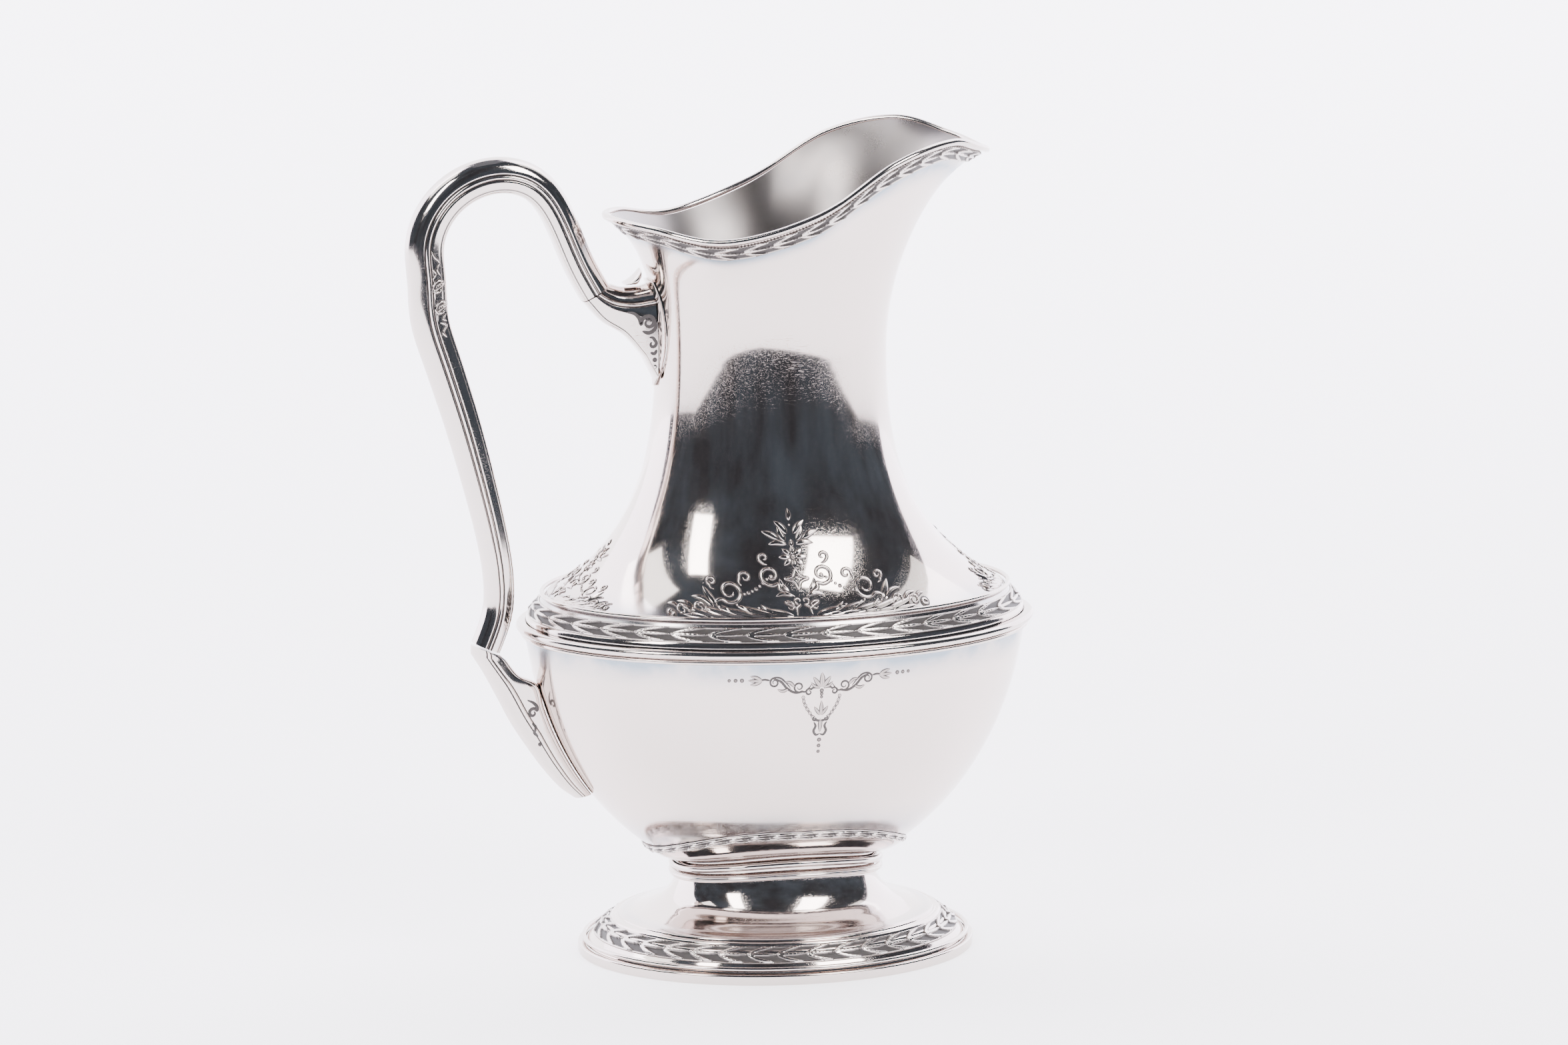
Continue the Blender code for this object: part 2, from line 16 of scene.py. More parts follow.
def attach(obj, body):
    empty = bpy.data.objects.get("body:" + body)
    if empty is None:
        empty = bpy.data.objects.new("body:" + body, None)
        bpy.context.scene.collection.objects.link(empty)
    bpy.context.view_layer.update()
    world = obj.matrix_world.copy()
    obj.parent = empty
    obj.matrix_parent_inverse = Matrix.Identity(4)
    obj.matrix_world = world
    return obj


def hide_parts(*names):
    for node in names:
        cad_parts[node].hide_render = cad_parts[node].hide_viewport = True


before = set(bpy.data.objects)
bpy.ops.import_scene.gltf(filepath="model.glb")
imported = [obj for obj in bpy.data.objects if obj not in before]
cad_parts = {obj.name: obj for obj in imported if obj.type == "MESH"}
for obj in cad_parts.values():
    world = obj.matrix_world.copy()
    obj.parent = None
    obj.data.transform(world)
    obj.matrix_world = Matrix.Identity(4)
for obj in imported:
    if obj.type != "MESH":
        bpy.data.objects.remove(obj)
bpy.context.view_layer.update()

MM = 0.001

# ---------------------------------------------------------------- sizes shared with the CAD part
SPOUT_REACH = 0.0663
GAP = 0.0003
SHEET = 0.0011
BOWL_A, BOWL_B, BOWL_H = 0.0779, 0.0554, 0.0900
BOWL_CENTRE_Z, BOWL_TOP_Z, BOWL_FLOOR_Z = 0.1110, 0.1000, 0.0350
BOWL_TURN = radians(30)
BOWL_SETBACK = 0.0006
SEAM_A, SEAM_B = 0.0772, 0.0549
SHOULDER_A, SHOULDER_B, SHOULDER_Z = 0.0718, 0.0511, 0.1118
SLOPE_FOOT_Z, FLANGE_Z = 0.1056, 0.1004
WAIST_A, WAIST_B, WAIST_Z, WAIST_SHIFT = 0.0356, 0.0280, 0.1865, -0.0016
NECK_DROP_Z, NECK_SPREAD, NECK_SPREAD_Z, NECK_RISE = 0.1500, 0.21, 0.1280, 0.0210
MOUTH_X = 0.0092
MOUTH_FRONT, MOUTH_BACK, MOUTH_B, MOUTH_POINT = SPOUT_REACH - MOUTH_X, 0.0623, 0.0426, 1.92
MOUTH_EDGE = ((0, 0.2455), (25, 0.2482), (48, 0.2520), (72, 0.2473), (98, 0.2322),
              (122, 0.2251), (150, 0.2279), (180, 0.2288))
FLARE_SIDE, FLARE_SPOUT, FLARE_BACK = radians(58), radians(26), radians(40)
FLARE_LENGTH, FLARE_LENGTH_SPOUT = 0.0125, 0.0230
RIM_WIRE, BEAD_WIRE = 0.0012, 0.0007
RIM_BORDER_TOP, RIM_BORDER_WIDTH = 0.0004, 0.0056
SHOULDER_BORDER = (0.2, 0.9)
BEAD_SEAT = (0.55, 0.95)
BAND_REACH, BAND_TOP_Z, BAND_BOTTOM_Z, BAND_ROUND = 0.0031, 0.1043, 0.1016, 0.0006
LIP_REACH, LIP_BOTTOM_Z, LIP_ROUND = 0.0017, 0.0999, 0.0004
CUP_A, CUP_B, CUP_SHIFT, CUP_SQUARE = 0.0408, 0.0372, -0.0008, 2.2
CUP_NECK = (0.0296, 0.0333, 0.0276, 0.0048)
CUP_SIDE, CUP_TUCK, CUP_FLARE, CUP_FLARE_RISE = 0.45, 0.0012, 0.0042, 0.0010
CUP_BORDER = (0.0002, 0.0024)  # distances down the cup from its edge
COLLAR_UPPER = (0.0274, 0.0308, 0.0254, 0.0043)
COLLAR_LOWER = (0.0247, 0.0308, 0.0252, 0.0034)
COLLAR_WIRE = 0.0011
TRUMPET = ((0.0290, 0.0308, 0.0254, 0.0046), (0.0262, 0.0307, 0.0253, 0.0038),
           (0.0235, 0.0309, 0.0254, 0.0030), (0.0205, 0.0322, 0.0266, 0.0016),
           (0.0175, 0.0346, 0.0288, 0.0006), (0.0150, 0.0386, 0.0324, 0.0001),
           (0.0130, 0.0436, 0.0368, 0.0), (0.0115, 0.0492, 0.0412, 0.0),
           (0.0102, 0.0510, 0.0427, 0.0), (0.0052, 0.0572, 0.0470, 0.0),
           (0.0034, 0.0589, 0.0479, 0.0), (0.0004, 0.0591, 0.0480, 0.0))
FOOT_A, FOOT_B, FOOT_REACH = 0.0592, 0.0481, 0.0023
FOOT_RIM_TOP_Z, FOOT_BEAD_Z, FOOT_BEAD_REACH = 0.0032, 0.0046, 0.0004
ARCH_X, ARCH_Z, ARCH_RADIUS = -0.0852, 0.2185, 0.0238
ARCH_TURNS = range(200, 79, -30)
HANDLE_LEG = ((-0.0908, 0.0985), (-0.0868, 0.1090), (-0.0866, 0.1200), (-0.0886, 0.1330),
              (-0.0922, 0.1485), (-0.0974, 0.1680), (-0.1030, 0.1860), (-0.1075, 0.2010))
HANDLE_ARM = ((-0.0745, 0.2392), (-0.0702, 0.2345), (-0.0668, 0.2280), (-0.0640, 0.2212),
              (-0.0609, 0.2137), (-0.0563, 0.2056))
HANDLE_DEPTH = ((0.0, 0.0088), (0.5, 0.0116), (0.75, 0.0110), (0.9, 0.0097), (1.0, 0.0098))
HANDLE_WIDTH, HANDLE_WALL, HANDLE_REACH = 0.0112, 0.0014, 0.1146
AXIS_X = (HANDLE_REACH - (SEAM_A + BAND_REACH)) / 2
ROOT_HALF_WIDTH, PLATE_THICKNESS = 0.0058, 0.0008
PLATE_OUTLINE = ((0.2085, 0.0050), (0.2040, 0.0070), (0.1970, 0.0082), (0.1890, 0.0080),
                 (0.1825, 0.0058), (0.1765, 0.0014))
UPPER_ROOT = (((-0.0515, 0.2079), (-0.0603, 0.2029)), ((-0.0482, 0.2069), (-0.0548, 0.1968)),
              ((-0.0446, 0.2068), (-0.0478, 0.1922)), ((-0.0418, 0.2072), (-0.0414, 0.1850)))
UPPER_ROOT_WALL = (0.2076, 0.1785)
SPUR = ((-0.0472, 0.2074, 0.2082, 0.0030), (-0.0452, 0.2074, 0.2094, 0.0036),
        (-0.0434, 0.2075, 0.2112, 0.0036), (-0.0424, 0.2090, 0.2124, 0.0030))
LOWER_ROOT_FREE = (((-0.0951, 0.0993), (-0.0866, 0.0961)), ((-0.0953, 0.0966), (-0.0848, 0.0946)),
                   ((-0.0913, 0.0900), (-0.0808, 0.0895)))
LOWER_ROOT_ON_BOWL = (((-0.0875, 0.0828), 0.0864), ((-0.0832, 0.0745), 0.0795),
                      ((-0.0779, 0.0662), 0.0710), ((-0.0722, 0.0583), 0.0625),
                      ((-0.0675, 0.0531), 0.0560), ((-0.0636, 0.0502), 0.0512))
LOWER_ROOT_HALF_WIDTH, LOWER_TIP_HALF_WIDTH = 0.0047, 0.0030
ROOT_MIDDLE, TONGUE_MIDDLE = (-0.0412, 0.1962), (-0.0781, 0.0774)

# ---------------------------------------------------------------- sampling
SEGMENTS = 256                 # facets round the vessel
ROUND = np.arange(SEGMENTS) * tau / SEGMENTS
STEP = 1e-4                    # small change used for slopes
UP = np.array((0.0, 0.0, 1.0))


# ---------------------------------------------------------------- curves and walls

def bezier(start, leave, arrive, end, t):
    """Point of a cubic Bezier curve."""
    s = 1 - t
    return s ** 3 * start + 3 * s * s * t * leave + 3 * s * t * t * arrive + t ** 3 * end


def curve_at(places, values, slopes, place):
    """Smooth curve through values at places, with the slopes given there."""
    i = np.clip(np.searchsorted(places, place) - 1, 0, len(places) - 2)
    span = places[i + 1] - places[i]
    leave = values[i] + slopes[i] * span / 3
    arrive = values[i + 1] - slopes[i + 1] * span / 3
    return bezier(values[i], leave, arrive, values[i + 1], (place - places[i]) / span)


def smooth(knots, place):
    """Value at place of a smooth curve through (place, value) knots, level at both ends."""
    places, values = np.array(knots, dtype=float).T
    slopes = np.gradient(values, places)
    slopes[0] = slopes[-1] = 0.0
    return curve_at(places, values, slopes, place)


def through(points, count):
    """Evenly spaced points on a smooth curve through a few points."""
    points = np.array(points, dtype=float)
    lengths = np.linalg.norm(np.diff(points, axis=0), axis=1)
    places = np.concatenate(((0.0,), np.cumsum(lengths)))
    slopes = np.gradient(points, places, axis=0)
    return np.array([curve_at(places, points, slopes, place) for place in np.linspace(0, places[-1], count)])


def unit(vectors):
    return vectors / np.linalg.norm(vectors, axis=-1, keepdims=True)


def oval(angle, z, a, b, rise=0.0, shift=0.0, square=2.0):
    """Points about the vessel's axis, with the flanks raised by rise."""
    c, s = np.cos(angle), np.sin(angle)
    size = (np.abs(c) ** square + np.abs(s) ** square) ** (-1 / square)
    return np.stack(np.broadcast_arrays(shift + a * size * c, b * size * s, z + rise * s * s), axis=-1)


def mouth_edge(angle):
    """The edge of the mouth."""
    c, s = np.cos(angle), np.sin(angle)
    power = np.where(c > 0, MOUTH_POINT, 2.0)
    size = (np.abs(c) ** power + np.abs(s) ** power) ** (-1 / power)
    x = MOUTH_X + np.where(c > 0, MOUTH_FRONT, MOUTH_BACK) * size * c
    turn = np.degrees(np.arccos(np.clip(c, -1, 1)))
    return np.stack((x, MOUTH_B * size * s, smooth(MOUTH_EDGE, turn)), axis=-1)


def mouth_slope(angle):
    """Directions at the mouth's edge: level outwards, up the flaring wall, and its handle length."""
    around = mouth_edge(angle + STEP) - mouth_edge(angle - STEP)
    level = unit(np.cross(around, UP))
    towards_spout = np.clip(np.cos(angle), 0, 1) ** 2
    towards_back = np.clip(-np.cos(angle), 0, 1) ** 2
    flare = (FLARE_SIDE + (FLARE_SPOUT - FLARE_SIDE) * towards_spout
             + (FLARE_BACK - FLARE_SIDE) * towards_back)
    length = FLARE_LENGTH + (FLARE_LENGTH_SPOUT - FLARE_LENGTH) * towards_spout ** 2
    climb = np.cos(flare)[..., None] * level + np.sin(flare)[..., None] * UP
    return level, climb, length


def upper_wall(angle, depth):
    """The upper neck. depth is 0 at the mouth and 1 at the waist."""
    _, climb, length = mouth_slope(angle)
    top = mouth_edge(angle) - climb * (2 * RIM_WIRE + GAP)
    waist = oval(angle, WAIST_Z, WAIST_A, WAIST_B, shift=WAIST_SHIFT)
    depth = np.asarray(depth, dtype=float)[..., None]
    return bezier(top, top - climb * length[..., None], waist + NECK_RISE * UP, waist, depth)


def below_mouth(angle, distance):
    """The upper neck at a distance down the wall from its top edge."""
    return upper_wall(angle, distance / (3 * mouth_slope(angle)[2]))


def lower_neck(angle, t):
    """The wall between waist and shoulder. t is 0 at the waist and 1 at the shoulder."""
    spread = bezier(0.0, 0.0, NECK_SPREAD, 1.0, t)
    z = bezier(WAIST_Z, NECK_DROP_Z, NECK_SPREAD_Z, SHOULDER_Z, t)
    a = WAIST_A + (SHOULDER_A - WAIST_A) * spread
    b = WAIST_B + (SHOULDER_B - WAIST_B) * spread
    return oval(angle, z, a, b, shift=WAIST_SHIFT * (1 - spread))


def slope(angle, t):
    """The slope that the shoulder's leaf border lies on."""
    a = SHOULDER_A + (SEAM_A - SHOULDER_A) * t
    b = SHOULDER_B + (SEAM_B - SHOULDER_B) * t
    return oval(angle, SHOULDER_Z + (SLOPE_FOOT_Z - SHOULDER_Z) * t, a, b)


def bowl_wall(angle, turn):
    """The bowl. turn is the angle below level, seen from its centre."""
    spread = np.cos(turn)
    return oval(angle, BOWL_CENTRE_Z - BOWL_H * np.sin(turn), BOWL_A * spread, BOWL_B * spread)


def bowl_height(x, y):
    return BOWL_CENTRE_Z - BOWL_H * np.sqrt(1 - (x / BOWL_A) ** 2 - (y / BOWL_B) ** 2)


def on_bowl(angle, a, b, shift, square):
    """An oval plan laid on the bowl."""
    ring = oval(angle, 0.0, a, b, shift=shift, square=square)
    ring[..., 2] = bowl_height(ring[..., 0], ring[..., 1])
    return ring


def cup_edge(angle):
    return on_bowl(angle, CUP_A, CUP_B, CUP_SHIFT, CUP_SQUARE)


def cup_wall(angle, t, distance=None):
    """The cup below the bowl, from its upper edge down to the collar, or at a distance from the edge."""
    top = cup_edge(angle) - GAP * UP
    neck = oval(angle, *CUP_NECK)
    level = unit(np.cross(cup_edge(angle + STEP) - cup_edge(angle - STEP), UP))
    side = CUP_SIDE * (top[..., 2:] - neck[..., 2:]) * UP + CUP_TUCK * level
    t = np.asarray(t, dtype=float)[..., None]
    if distance is not None:
        t = np.asarray(distance)[..., None] / (3 * np.linalg.norm(side, axis=-1, keepdims=True))
    out = unit(neck * (1, 1, 0))
    return bezier(top, top - side, neck + CUP_FLARE * out + CUP_FLARE_RISE * UP, neck, t)


def below_cup_edge(angle, distance):
    return cup_wall(angle, 0.0, distance)


FOOT_PROFILE = through(TRUMPET, 400)


def trumpet_wall(angle, t):
    """The trumpet, without its mouldings. t is 0 at the collar and 1 on the ground."""
    place = np.asarray(t, dtype=float) * (len(FOOT_PROFILE) - 1)
    z, a, b, rise = (np.interp(place, np.arange(len(FOOT_PROFILE)), FOOT_PROFILE[:, k]) for k in range(4))
    return oval(angle, z, a, b, rise)


def normal_of(surface, angle, t):
    """Outward unit normal of a wall at an angle and station."""
    around = surface(angle + STEP, t) - surface(angle - STEP, t)
    down = surface(angle, t + STEP) - surface(angle, t - STEP)
    return unit(np.cross(down, around))


# ---------------------------------------------------------------- materials

class Nodes:
    """Small helper that adds and links the shader nodes of one material."""

    def __init__(self, name):
        self.material = bpy.data.materials.new(name)
        self.material.use_nodes = True
        self.tree = self.material.node_tree
        self.place = self.tree.nodes.new("ShaderNodeTexCoord").outputs["Object"]

    def fill(self, node, inputs):
        """Links or sets the inputs of a node."""
        for key, value in inputs.items():
            if isinstance(value, bpy.types.NodeSocket):
                self.tree.links.new(value, node.inputs[key])
            else:
                node.inputs[key].default_value = value

    def add(self, kind, inputs, **settings):
        node = self.tree.nodes.new(kind)
        for key, value in settings.items():
            setattr(node, key, value)
        self.fill(node, inputs)
        return node

    def noise(self, scale, detail=3.0, stretch=None, turn=(0, 0, 0)):
        place = self.place
        if stretch is not None:
            inputs = {"Vector": place, "Scale": stretch, "Rotation": turn}
            place = self.add("ShaderNodeMapping", inputs).outputs[0]
        inputs = {"Vector": place, "Scale": scale, "Detail": detail}
        return self.add("ShaderNodeTexNoise", inputs).outputs["Fac"]

    def ramp(self, value, low, high, start=0.0, end=1.0):
        """Value mapped from low..high to start..end, held at both ends."""
        inputs = {"Value": value, "From Min": low, "From Max": high, "To Min": start, "To Max": end}
        return self.add("ShaderNodeMapRange", inputs).outputs["Result"]

    def math(self, operation, *values):
        return self.add("ShaderNodeMath", dict(enumerate(values)), operation=operation).outputs[0]

    def mix(self, share, first, second):
        return self.add("ShaderNodeMix", {0: share, 6: first, 7: second}, data_type="RGBA").outputs[2]

    def attribute(self, name):
        return self.add("ShaderNodeAttribute", {}, attribute_name=name).outputs["Fac"]

    def finish(self, inputs):
        """Sets the inputs of the surface and gives the material."""
        self.fill(self.tree.nodes["Principled BSDF"], inputs)
        return self.material


# Stretch and turn of the noise in each set of cleaning scratches, and its scale
SCRATCHES = (((1, 14, 14), (0, 0.5, 0.3), 260), ((14, 1, 14), (0.4, 0, -0.2), 330),
             ((14, 14, 1), (0.2, 0.3, 0), 400), ((1, 16, 16), (0.9, -0.6, 0.8), 470))
# Bluish tint of tarnish and painted shade, and the near black of oxide and painted shade
TARNISH_SHADE_COLOUR, OXIDE_SHADE_COLOUR = (0.27, 0.32, 0.37, 1), (0.009, 0.0085, 0.010, 1)
OXIDE_SHADE_SHARE = 0.9              # how much of the bare metal the dark of oxide and painted shade hides at the bottom of a recess
METAL_FADE = (0.72, 0.9)       # recess over which the surface turns from metal to the dull dark of oxide and painted shade
CLOUDY = 0.93                  # brightness of the cloudy patches


def silver(name, colour, gloss, scratched=1.0):
    """Polished silver: cleaning scratches, soft cloudiness, a bluish tint of tarnish and painted shade, and
    dark oxide with painted shade in recesses.
    """
    n = Nodes(name)
    streaks = None
    for stretch, turn, scale in SCRATCHES:
        lines = n.ramp(n.noise(scale, 2.0, stretch, turn), 0.66, 0.72)
        streaks = lines if streaks is None else n.math("ADD", lines, streaks)
    streaks = n.math("MULTIPLY", streaks, n.ramp(n.noise(38, 2.0), 0.42, 0.62))
    cloud = n.ramp(n.noise(16, 5.0), 0.35, 0.7)
    tarnish_shade = n.math("MULTIPLY", n.attribute("tarnish_shade"), n.ramp(n.noise(70, 4.0), 0.3, 0.62, 0.35, 1.0))
    recess = n.math("MULTIPLY", n.attribute("recess"), OXIDE_SHADE_SHARE)
    shade = n.mix(n.math("MULTIPLY", cloud, 0.35), (*colour, 1), (*(c * CLOUDY for c in colour), 1))
    # painted shade: bluish tint of tarnish and shade, then the dark of oxide and shade in recesses
    shade = n.mix(n.math("MULTIPLY", tarnish_shade, 0.9), shade, TARNISH_SHADE_COLOUR)
    shade = n.mix(recess, shade, OXIDE_SHADE_COLOUR)
    rough = n.math("MULTIPLY_ADD", cloud, 0.05, gloss)
    for cause, share in ((streaks, 0.10 * scratched), (tarnish_shade, 0.16), (recess, 0.3)):
        rough = n.math("ADD", rough, n.math("MULTIPLY", cause, share))
    ripple = n.math("MULTIPLY", n.noise(90, 3.0), 0.35)
    height = n.math("ADD", ripple, n.math("MULTIPLY", streaks, -0.25 * scratched))
    bump = n.add("ShaderNodeBump", {"Height": height, "Strength": 0.05, "Distance": 0.001})
    return n.finish({"Metallic": n.ramp(recess, *METAL_FADE, 1.0, 0.0), "Specular IOR Level": 0.2,
                     "Base Color": shade, "Roughness": rough, "Normal": bump.outputs[0]})


LOOKS = {
    "polished_silver": silver("polished_silver", (0.67, 0.585, 0.545), 0.045),
    "silver_mouldings": silver("silver_mouldings", (0.62, 0.55, 0.515), 0.07, 0.5),
    "oxidised_borders": silver("oxidised_borders", (0.60, 0.54, 0.505), 0.13, 0.3),
    "handle_silver": silver("handle_silver", (0.64, 0.57, 0.535), 0.06, 0.8),
}


# ---------------------------------------------------------------- meshes

def grid_faces(rows, columns, close_rows, close_columns, first=0):
    """Quads of a grid of points numbered row by row."""
    r, c = np.meshgrid(np.arange(rows if close_rows else rows - 1),
                       np.arange(columns if close_columns else columns - 1), indexing="ij")
    r1, c1 = (r + 1) % rows, (c + 1) % columns
    corners = (r * columns + c, r1 * columns + c, r1 * columns + c1, r * columns + c1)
    return np.stack(corners, axis=-1).reshape(-1, 4) + first


def fan_faces(ring, centre):
    """Triangles that close a ring of point numbers with one middle point."""
    ring = np.asarray(ring)
    return np.stack((ring, np.roll(ring, -1), np.full(len(ring), centre)), axis=-1)


def volume(points, faces):
    """Six times the space that the faces close in. Negative where they face inwards."""
    total = 0.0
    for group in faces:
        for k in range(1, group.shape[1] - 1):
            a, b, c = (points[group[:, i]] for i in (0, k, k + 1))
            total += np.einsum("ij,ij->", a, np.cross(b, c))
    return total


def link(made):
    bpy.context.scene.collection.objects.link(made)
    return made


def show(name, points, faces, slot, nodes=(), recess=None, tarnish_shade=None, sharp=None):
    """Makes one piece from points and groups of faces, facing out, riding with the vessel."""
    points = np.asarray(points, dtype=float).reshape(-1, 3)
    if volume(points, faces) < 0:
        faces = [group[:, ::-1] for group in faces]
    mesh = bpy.data.meshes.new(name)
    every = [face for group in faces for face in group.tolist()]
    mesh.from_pydata((points + (AXIS_X, 0, 0)).tolist(), [], every)
    mesh.materials.append(LOOKS[slot])
    for key, values in (("recess", recess), ("tarnish_shade", tarnish_shade)):
        if values is not None:
            layer = mesh.attributes.new(key, "FLOAT", "POINT")
            layer.data.foreach_set("value", np.asarray(values, dtype=np.float32).reshape(-1))
    mesh.shade_smooth()
    if sharp is not None:
        mesh.set_sharp_from_angle(angle=radians(sharp))
    made = link(bpy.data.objects.new(name, mesh))
    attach(made, "root")
    if nodes:
        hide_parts(*nodes)


def offset(rings, distance):
    """Rings of a wall moved square to it, outwards."""
    along = np.gradient(rings, axis=0)
    around = np.roll(rings, -1, axis=1) - np.roll(rings, 1, axis=1)
    return rings + unit(np.cross(along, around)) * distance


# Painted shade inside the vessel: the inner face gets the bluish tint and part of the dark recess colour
INSIDE_TARNISH_SHADE, INSIDE_SHADE = 0.3, 0.7


def shell(name, rings, node, tarnish_shade):
    """A sheet wall with its thickness inside the given rings, its inner face darkened as painted shade. The
    tint of tarnish and painted shade comes as one value for each ring.
    """
    rings = np.array(rings)
    both = np.concatenate((rings, offset(rings, -SHEET)[::-1]))
    tarnish_shade = np.concatenate((tarnish_shade, np.full(len(rings), INSIDE_TARNISH_SHADE)))
    tarnish_shade = np.repeat(tarnish_shade[:, None], SEGMENTS, axis=1)
    inside_shade = np.zeros(both.shape[:2])
    inside_shade[len(rings):] = INSIDE_SHADE
    show(name, both, [grid_faces(*both.shape[:2], True, True)], "polished_silver", (node,), inside_shade, tarnish_shade, 50)


def wire(name, path, outline, node, up=UP, out=None):
    """A moulding bent round a ring. outline holds (outwards, upwards) pairs."""
    if out is None:
        out = unit(np.cross(np.roll(path, -1, axis=0) - np.roll(path, 1, axis=0), UP))
    rings = np.array([path + out * right + up * rise for right, rise in outline])
    show(name, rings, [grid_faces(*rings.shape[:2], True, True)], "silver_mouldings", (node,), sharp=50)


def round_outline(radius, centre=(0.0, 0.0), sides=20, reeds=0, depth=0.0):
    """Outline of a round wire, or of one with fine lines turned into it."""
    turns = np.arange(sides) * tau / sides
    size = radius * (1 + depth * (np.cos(reeds * turns) - 1))
    return [(centre[0] + r * cos(t), centre[1] + r * sin(t)) for r, t in zip(size, turns)]


def half_round(reach, edge, low, high):
    """Outline of a band with a rounded face. edge is the share of its reach that its edges keep."""
    middle, half = (low + high) / 2, (high - low) / 2
    face = [(GAP + (reach - GAP) * (edge + (1 - edge) * cos(t)), middle + half * sin(t))
            for t in np.radians(np.linspace(-90, 90, 22))]
    return [(GAP, low)] + face + [(GAP, high)]


def closed_loft(name, loops, node, recess=None, sharp=45):
    """Piece of the handle through closed loops, closed at both ends."""
    loops = np.array(loops)
    rows, columns = loops.shape[:2]
    points = np.concatenate((loops.reshape(-1, 3), loops[[0, -1]].mean(axis=1)))
    ring = np.arange(columns)
    faces = [grid_faces(rows, columns, False, True), fan_faces(ring, rows * columns)[:, ::-1],
             fan_faces(ring + (rows - 1) * columns, rows * columns + 1)]
    if recess is not None:
        recess = np.concatenate((np.tile(recess, rows), (0.5, 0.5)))
    show(name, points, faces, "handle_silver", (node,), recess=recess, sharp=sharp)


# ---------------------------------------------------------------- leaf borders

# One cluster of leaves. Along: in clusters. Across: in half widths, 0 in the middle.
# start, end, sideways bend, half width, how high the base and the tip lie
CLUSTER = (((0.04, 0.00), (0.98, -0.04), 0.02, 0.22, 0.40, 0.60),
           ((0.00, 0.10), (0.90, 0.80), 0.14, 0.20, 0.30, 0.55),
           ((0.00, -0.10), (0.90, -0.80), -0.14, 0.20, 0.30, 0.55))
LEAF_DOME, LEAF_RIB, LEAF_VEIN = 0.36, 0.20, 0.03
BERRY_RADIUS = 0.17            # of the border's half width
EDGE_LINE, EDGE_HEIGHT = 0.30, 0.42     # half width in mm and height of the plain line along both edges
FIELD = 0.08                   # height of the ground between the leaves
BEADS = 9                      # beads along the edge for each cluster


def dome_over(away):
    """Rounded height that falls from 1 to 0 while the squared distance goes from 0 to 1."""
    return np.sqrt(np.clip(1 - away, 0, 1))


def cluster_height(along, across, period, half):
    """Stamped height in shares of the border's thickness. along in clusters, across in half widths."""
    height = np.zeros(np.broadcast(along, across).shape)
    t = across * half
    for shift in (-1, 0, 1):
        s = (along - shift) * period
        for start, end, bend, width, low, high in CLUSTER:
            a = np.array((start[0] * period, start[1] * half))
            chord = np.array((end[0] * period, end[1] * half)) - a
            length = np.hypot(*chord)
            p = ((s - a[0]) * chord[0] + (t - a[1]) * chord[1]) / length ** 2
            q = ((t - a[1]) * chord[0] - (s - a[0]) * chord[1]) / length
            inside = np.clip(p, 0, 1)
            q = q - bend * half * 4 * inside * (1 - inside)
            reach = 2.1 * width * half * inside ** 0.45 * (1 - inside) ** 0.8 + 1e-6
            edge = 1 - (q / reach) ** 2
            rib = LEAF_RIB * np.exp(-(q / 0.13) ** 2) * (1 - inside)
            vein = LEAF_VEIN * np.cos(tau * (7 * inside - 1.4 * np.abs(q) / reach))
            leaf = low + (high - low) * inside + LEAF_DOME * np.clip(edge, 0, 1) ** 0.55 - rib + vein
            height = np.maximum(height, np.where((p > 0) & (p < 1) & (edge > 0), leaf, 0))
        away = ((s - 0.01 * period) ** 2 + t ** 2) / (BERRY_RADIUS * half) ** 2
        height = np.maximum(height, np.where(away < 1, 0.35 + 0.65 * dome_over(away), 0))
    return height


def border(name, node, surface, stations, period, rows=30, columns=46, thickness=0.95 * MM, beaded=False):
    """A stamped strip of laurel round a wall. stations are its upper and lower edge."""
    angle = np.linspace(0, tau, 1441)
    middle = surface(angle, np.full(angle.shape, (stations[0] + stations[1]) / 2))
    lengths = np.concatenate(((0,), np.cumsum(np.linalg.norm(np.diff(middle, axis=0), axis=1))))
    count = int(round(lengths[-1] / (period * MM)))
    place = np.arange(count * columns) / columns
    angles = np.interp(place / count * lengths[-1], lengths, angle)
    station = np.linspace(*stations, rows)
    top, bottom = surface(np.full(2, 4.7), np.array(stations))
    half = np.linalg.norm(top - bottom) / MM / 2
    across = np.linspace(1, -1, rows)[:, None]
    step = lengths[-1] / count / MM
    height = cluster_height(place % 1.0, across, step, half)
    away = (1 - np.abs(across)) * half
    height = np.maximum(height, EDGE_HEIGHT * dome_over(((away - EDGE_LINE) / EDGE_LINE) ** 2))
    if beaded:
        s = (place * BEADS % 1.0 - 0.5) * step / BEADS
        nearby = (s ** 2 + ((1 - across) * half - EDGE_LINE) ** 2) / EDGE_LINE ** 2
        height = np.maximum(height, 0.8 * dome_over(nearby - 0.1))
    recess = np.clip(1 - (height - FIELD) / 0.2, 0, 1)
    # Darker where the relief drops steeply: oxide in the leaf outlines and painted shade on their sides
    drop = np.abs(np.gradient(height, axis=1)) + np.abs(np.gradient(height, axis=0))
    recess = np.clip(recess + np.clip(drop * 2.2 - 0.3, 0, 0.9), 0, 1)
    height = np.maximum(height, FIELD)
    grid_angle, grid_station = np.broadcast_arrays(angles[None, :], station[:, None])
    points = surface(grid_angle, grid_station)
    normals = normal_of(surface, grid_angle, grid_station)
    face = points + normals * (height * thickness)[..., None]
    face[[0, -1]] = points[[0, -1]] - normals[[0, -1]] * 0.1 * MM
    show(name, face, [grid_faces(*face.shape[:2], True, True)], "oxidised_borders", (node,), recess)


# ---------------------------------------------------------------- relief on a wall

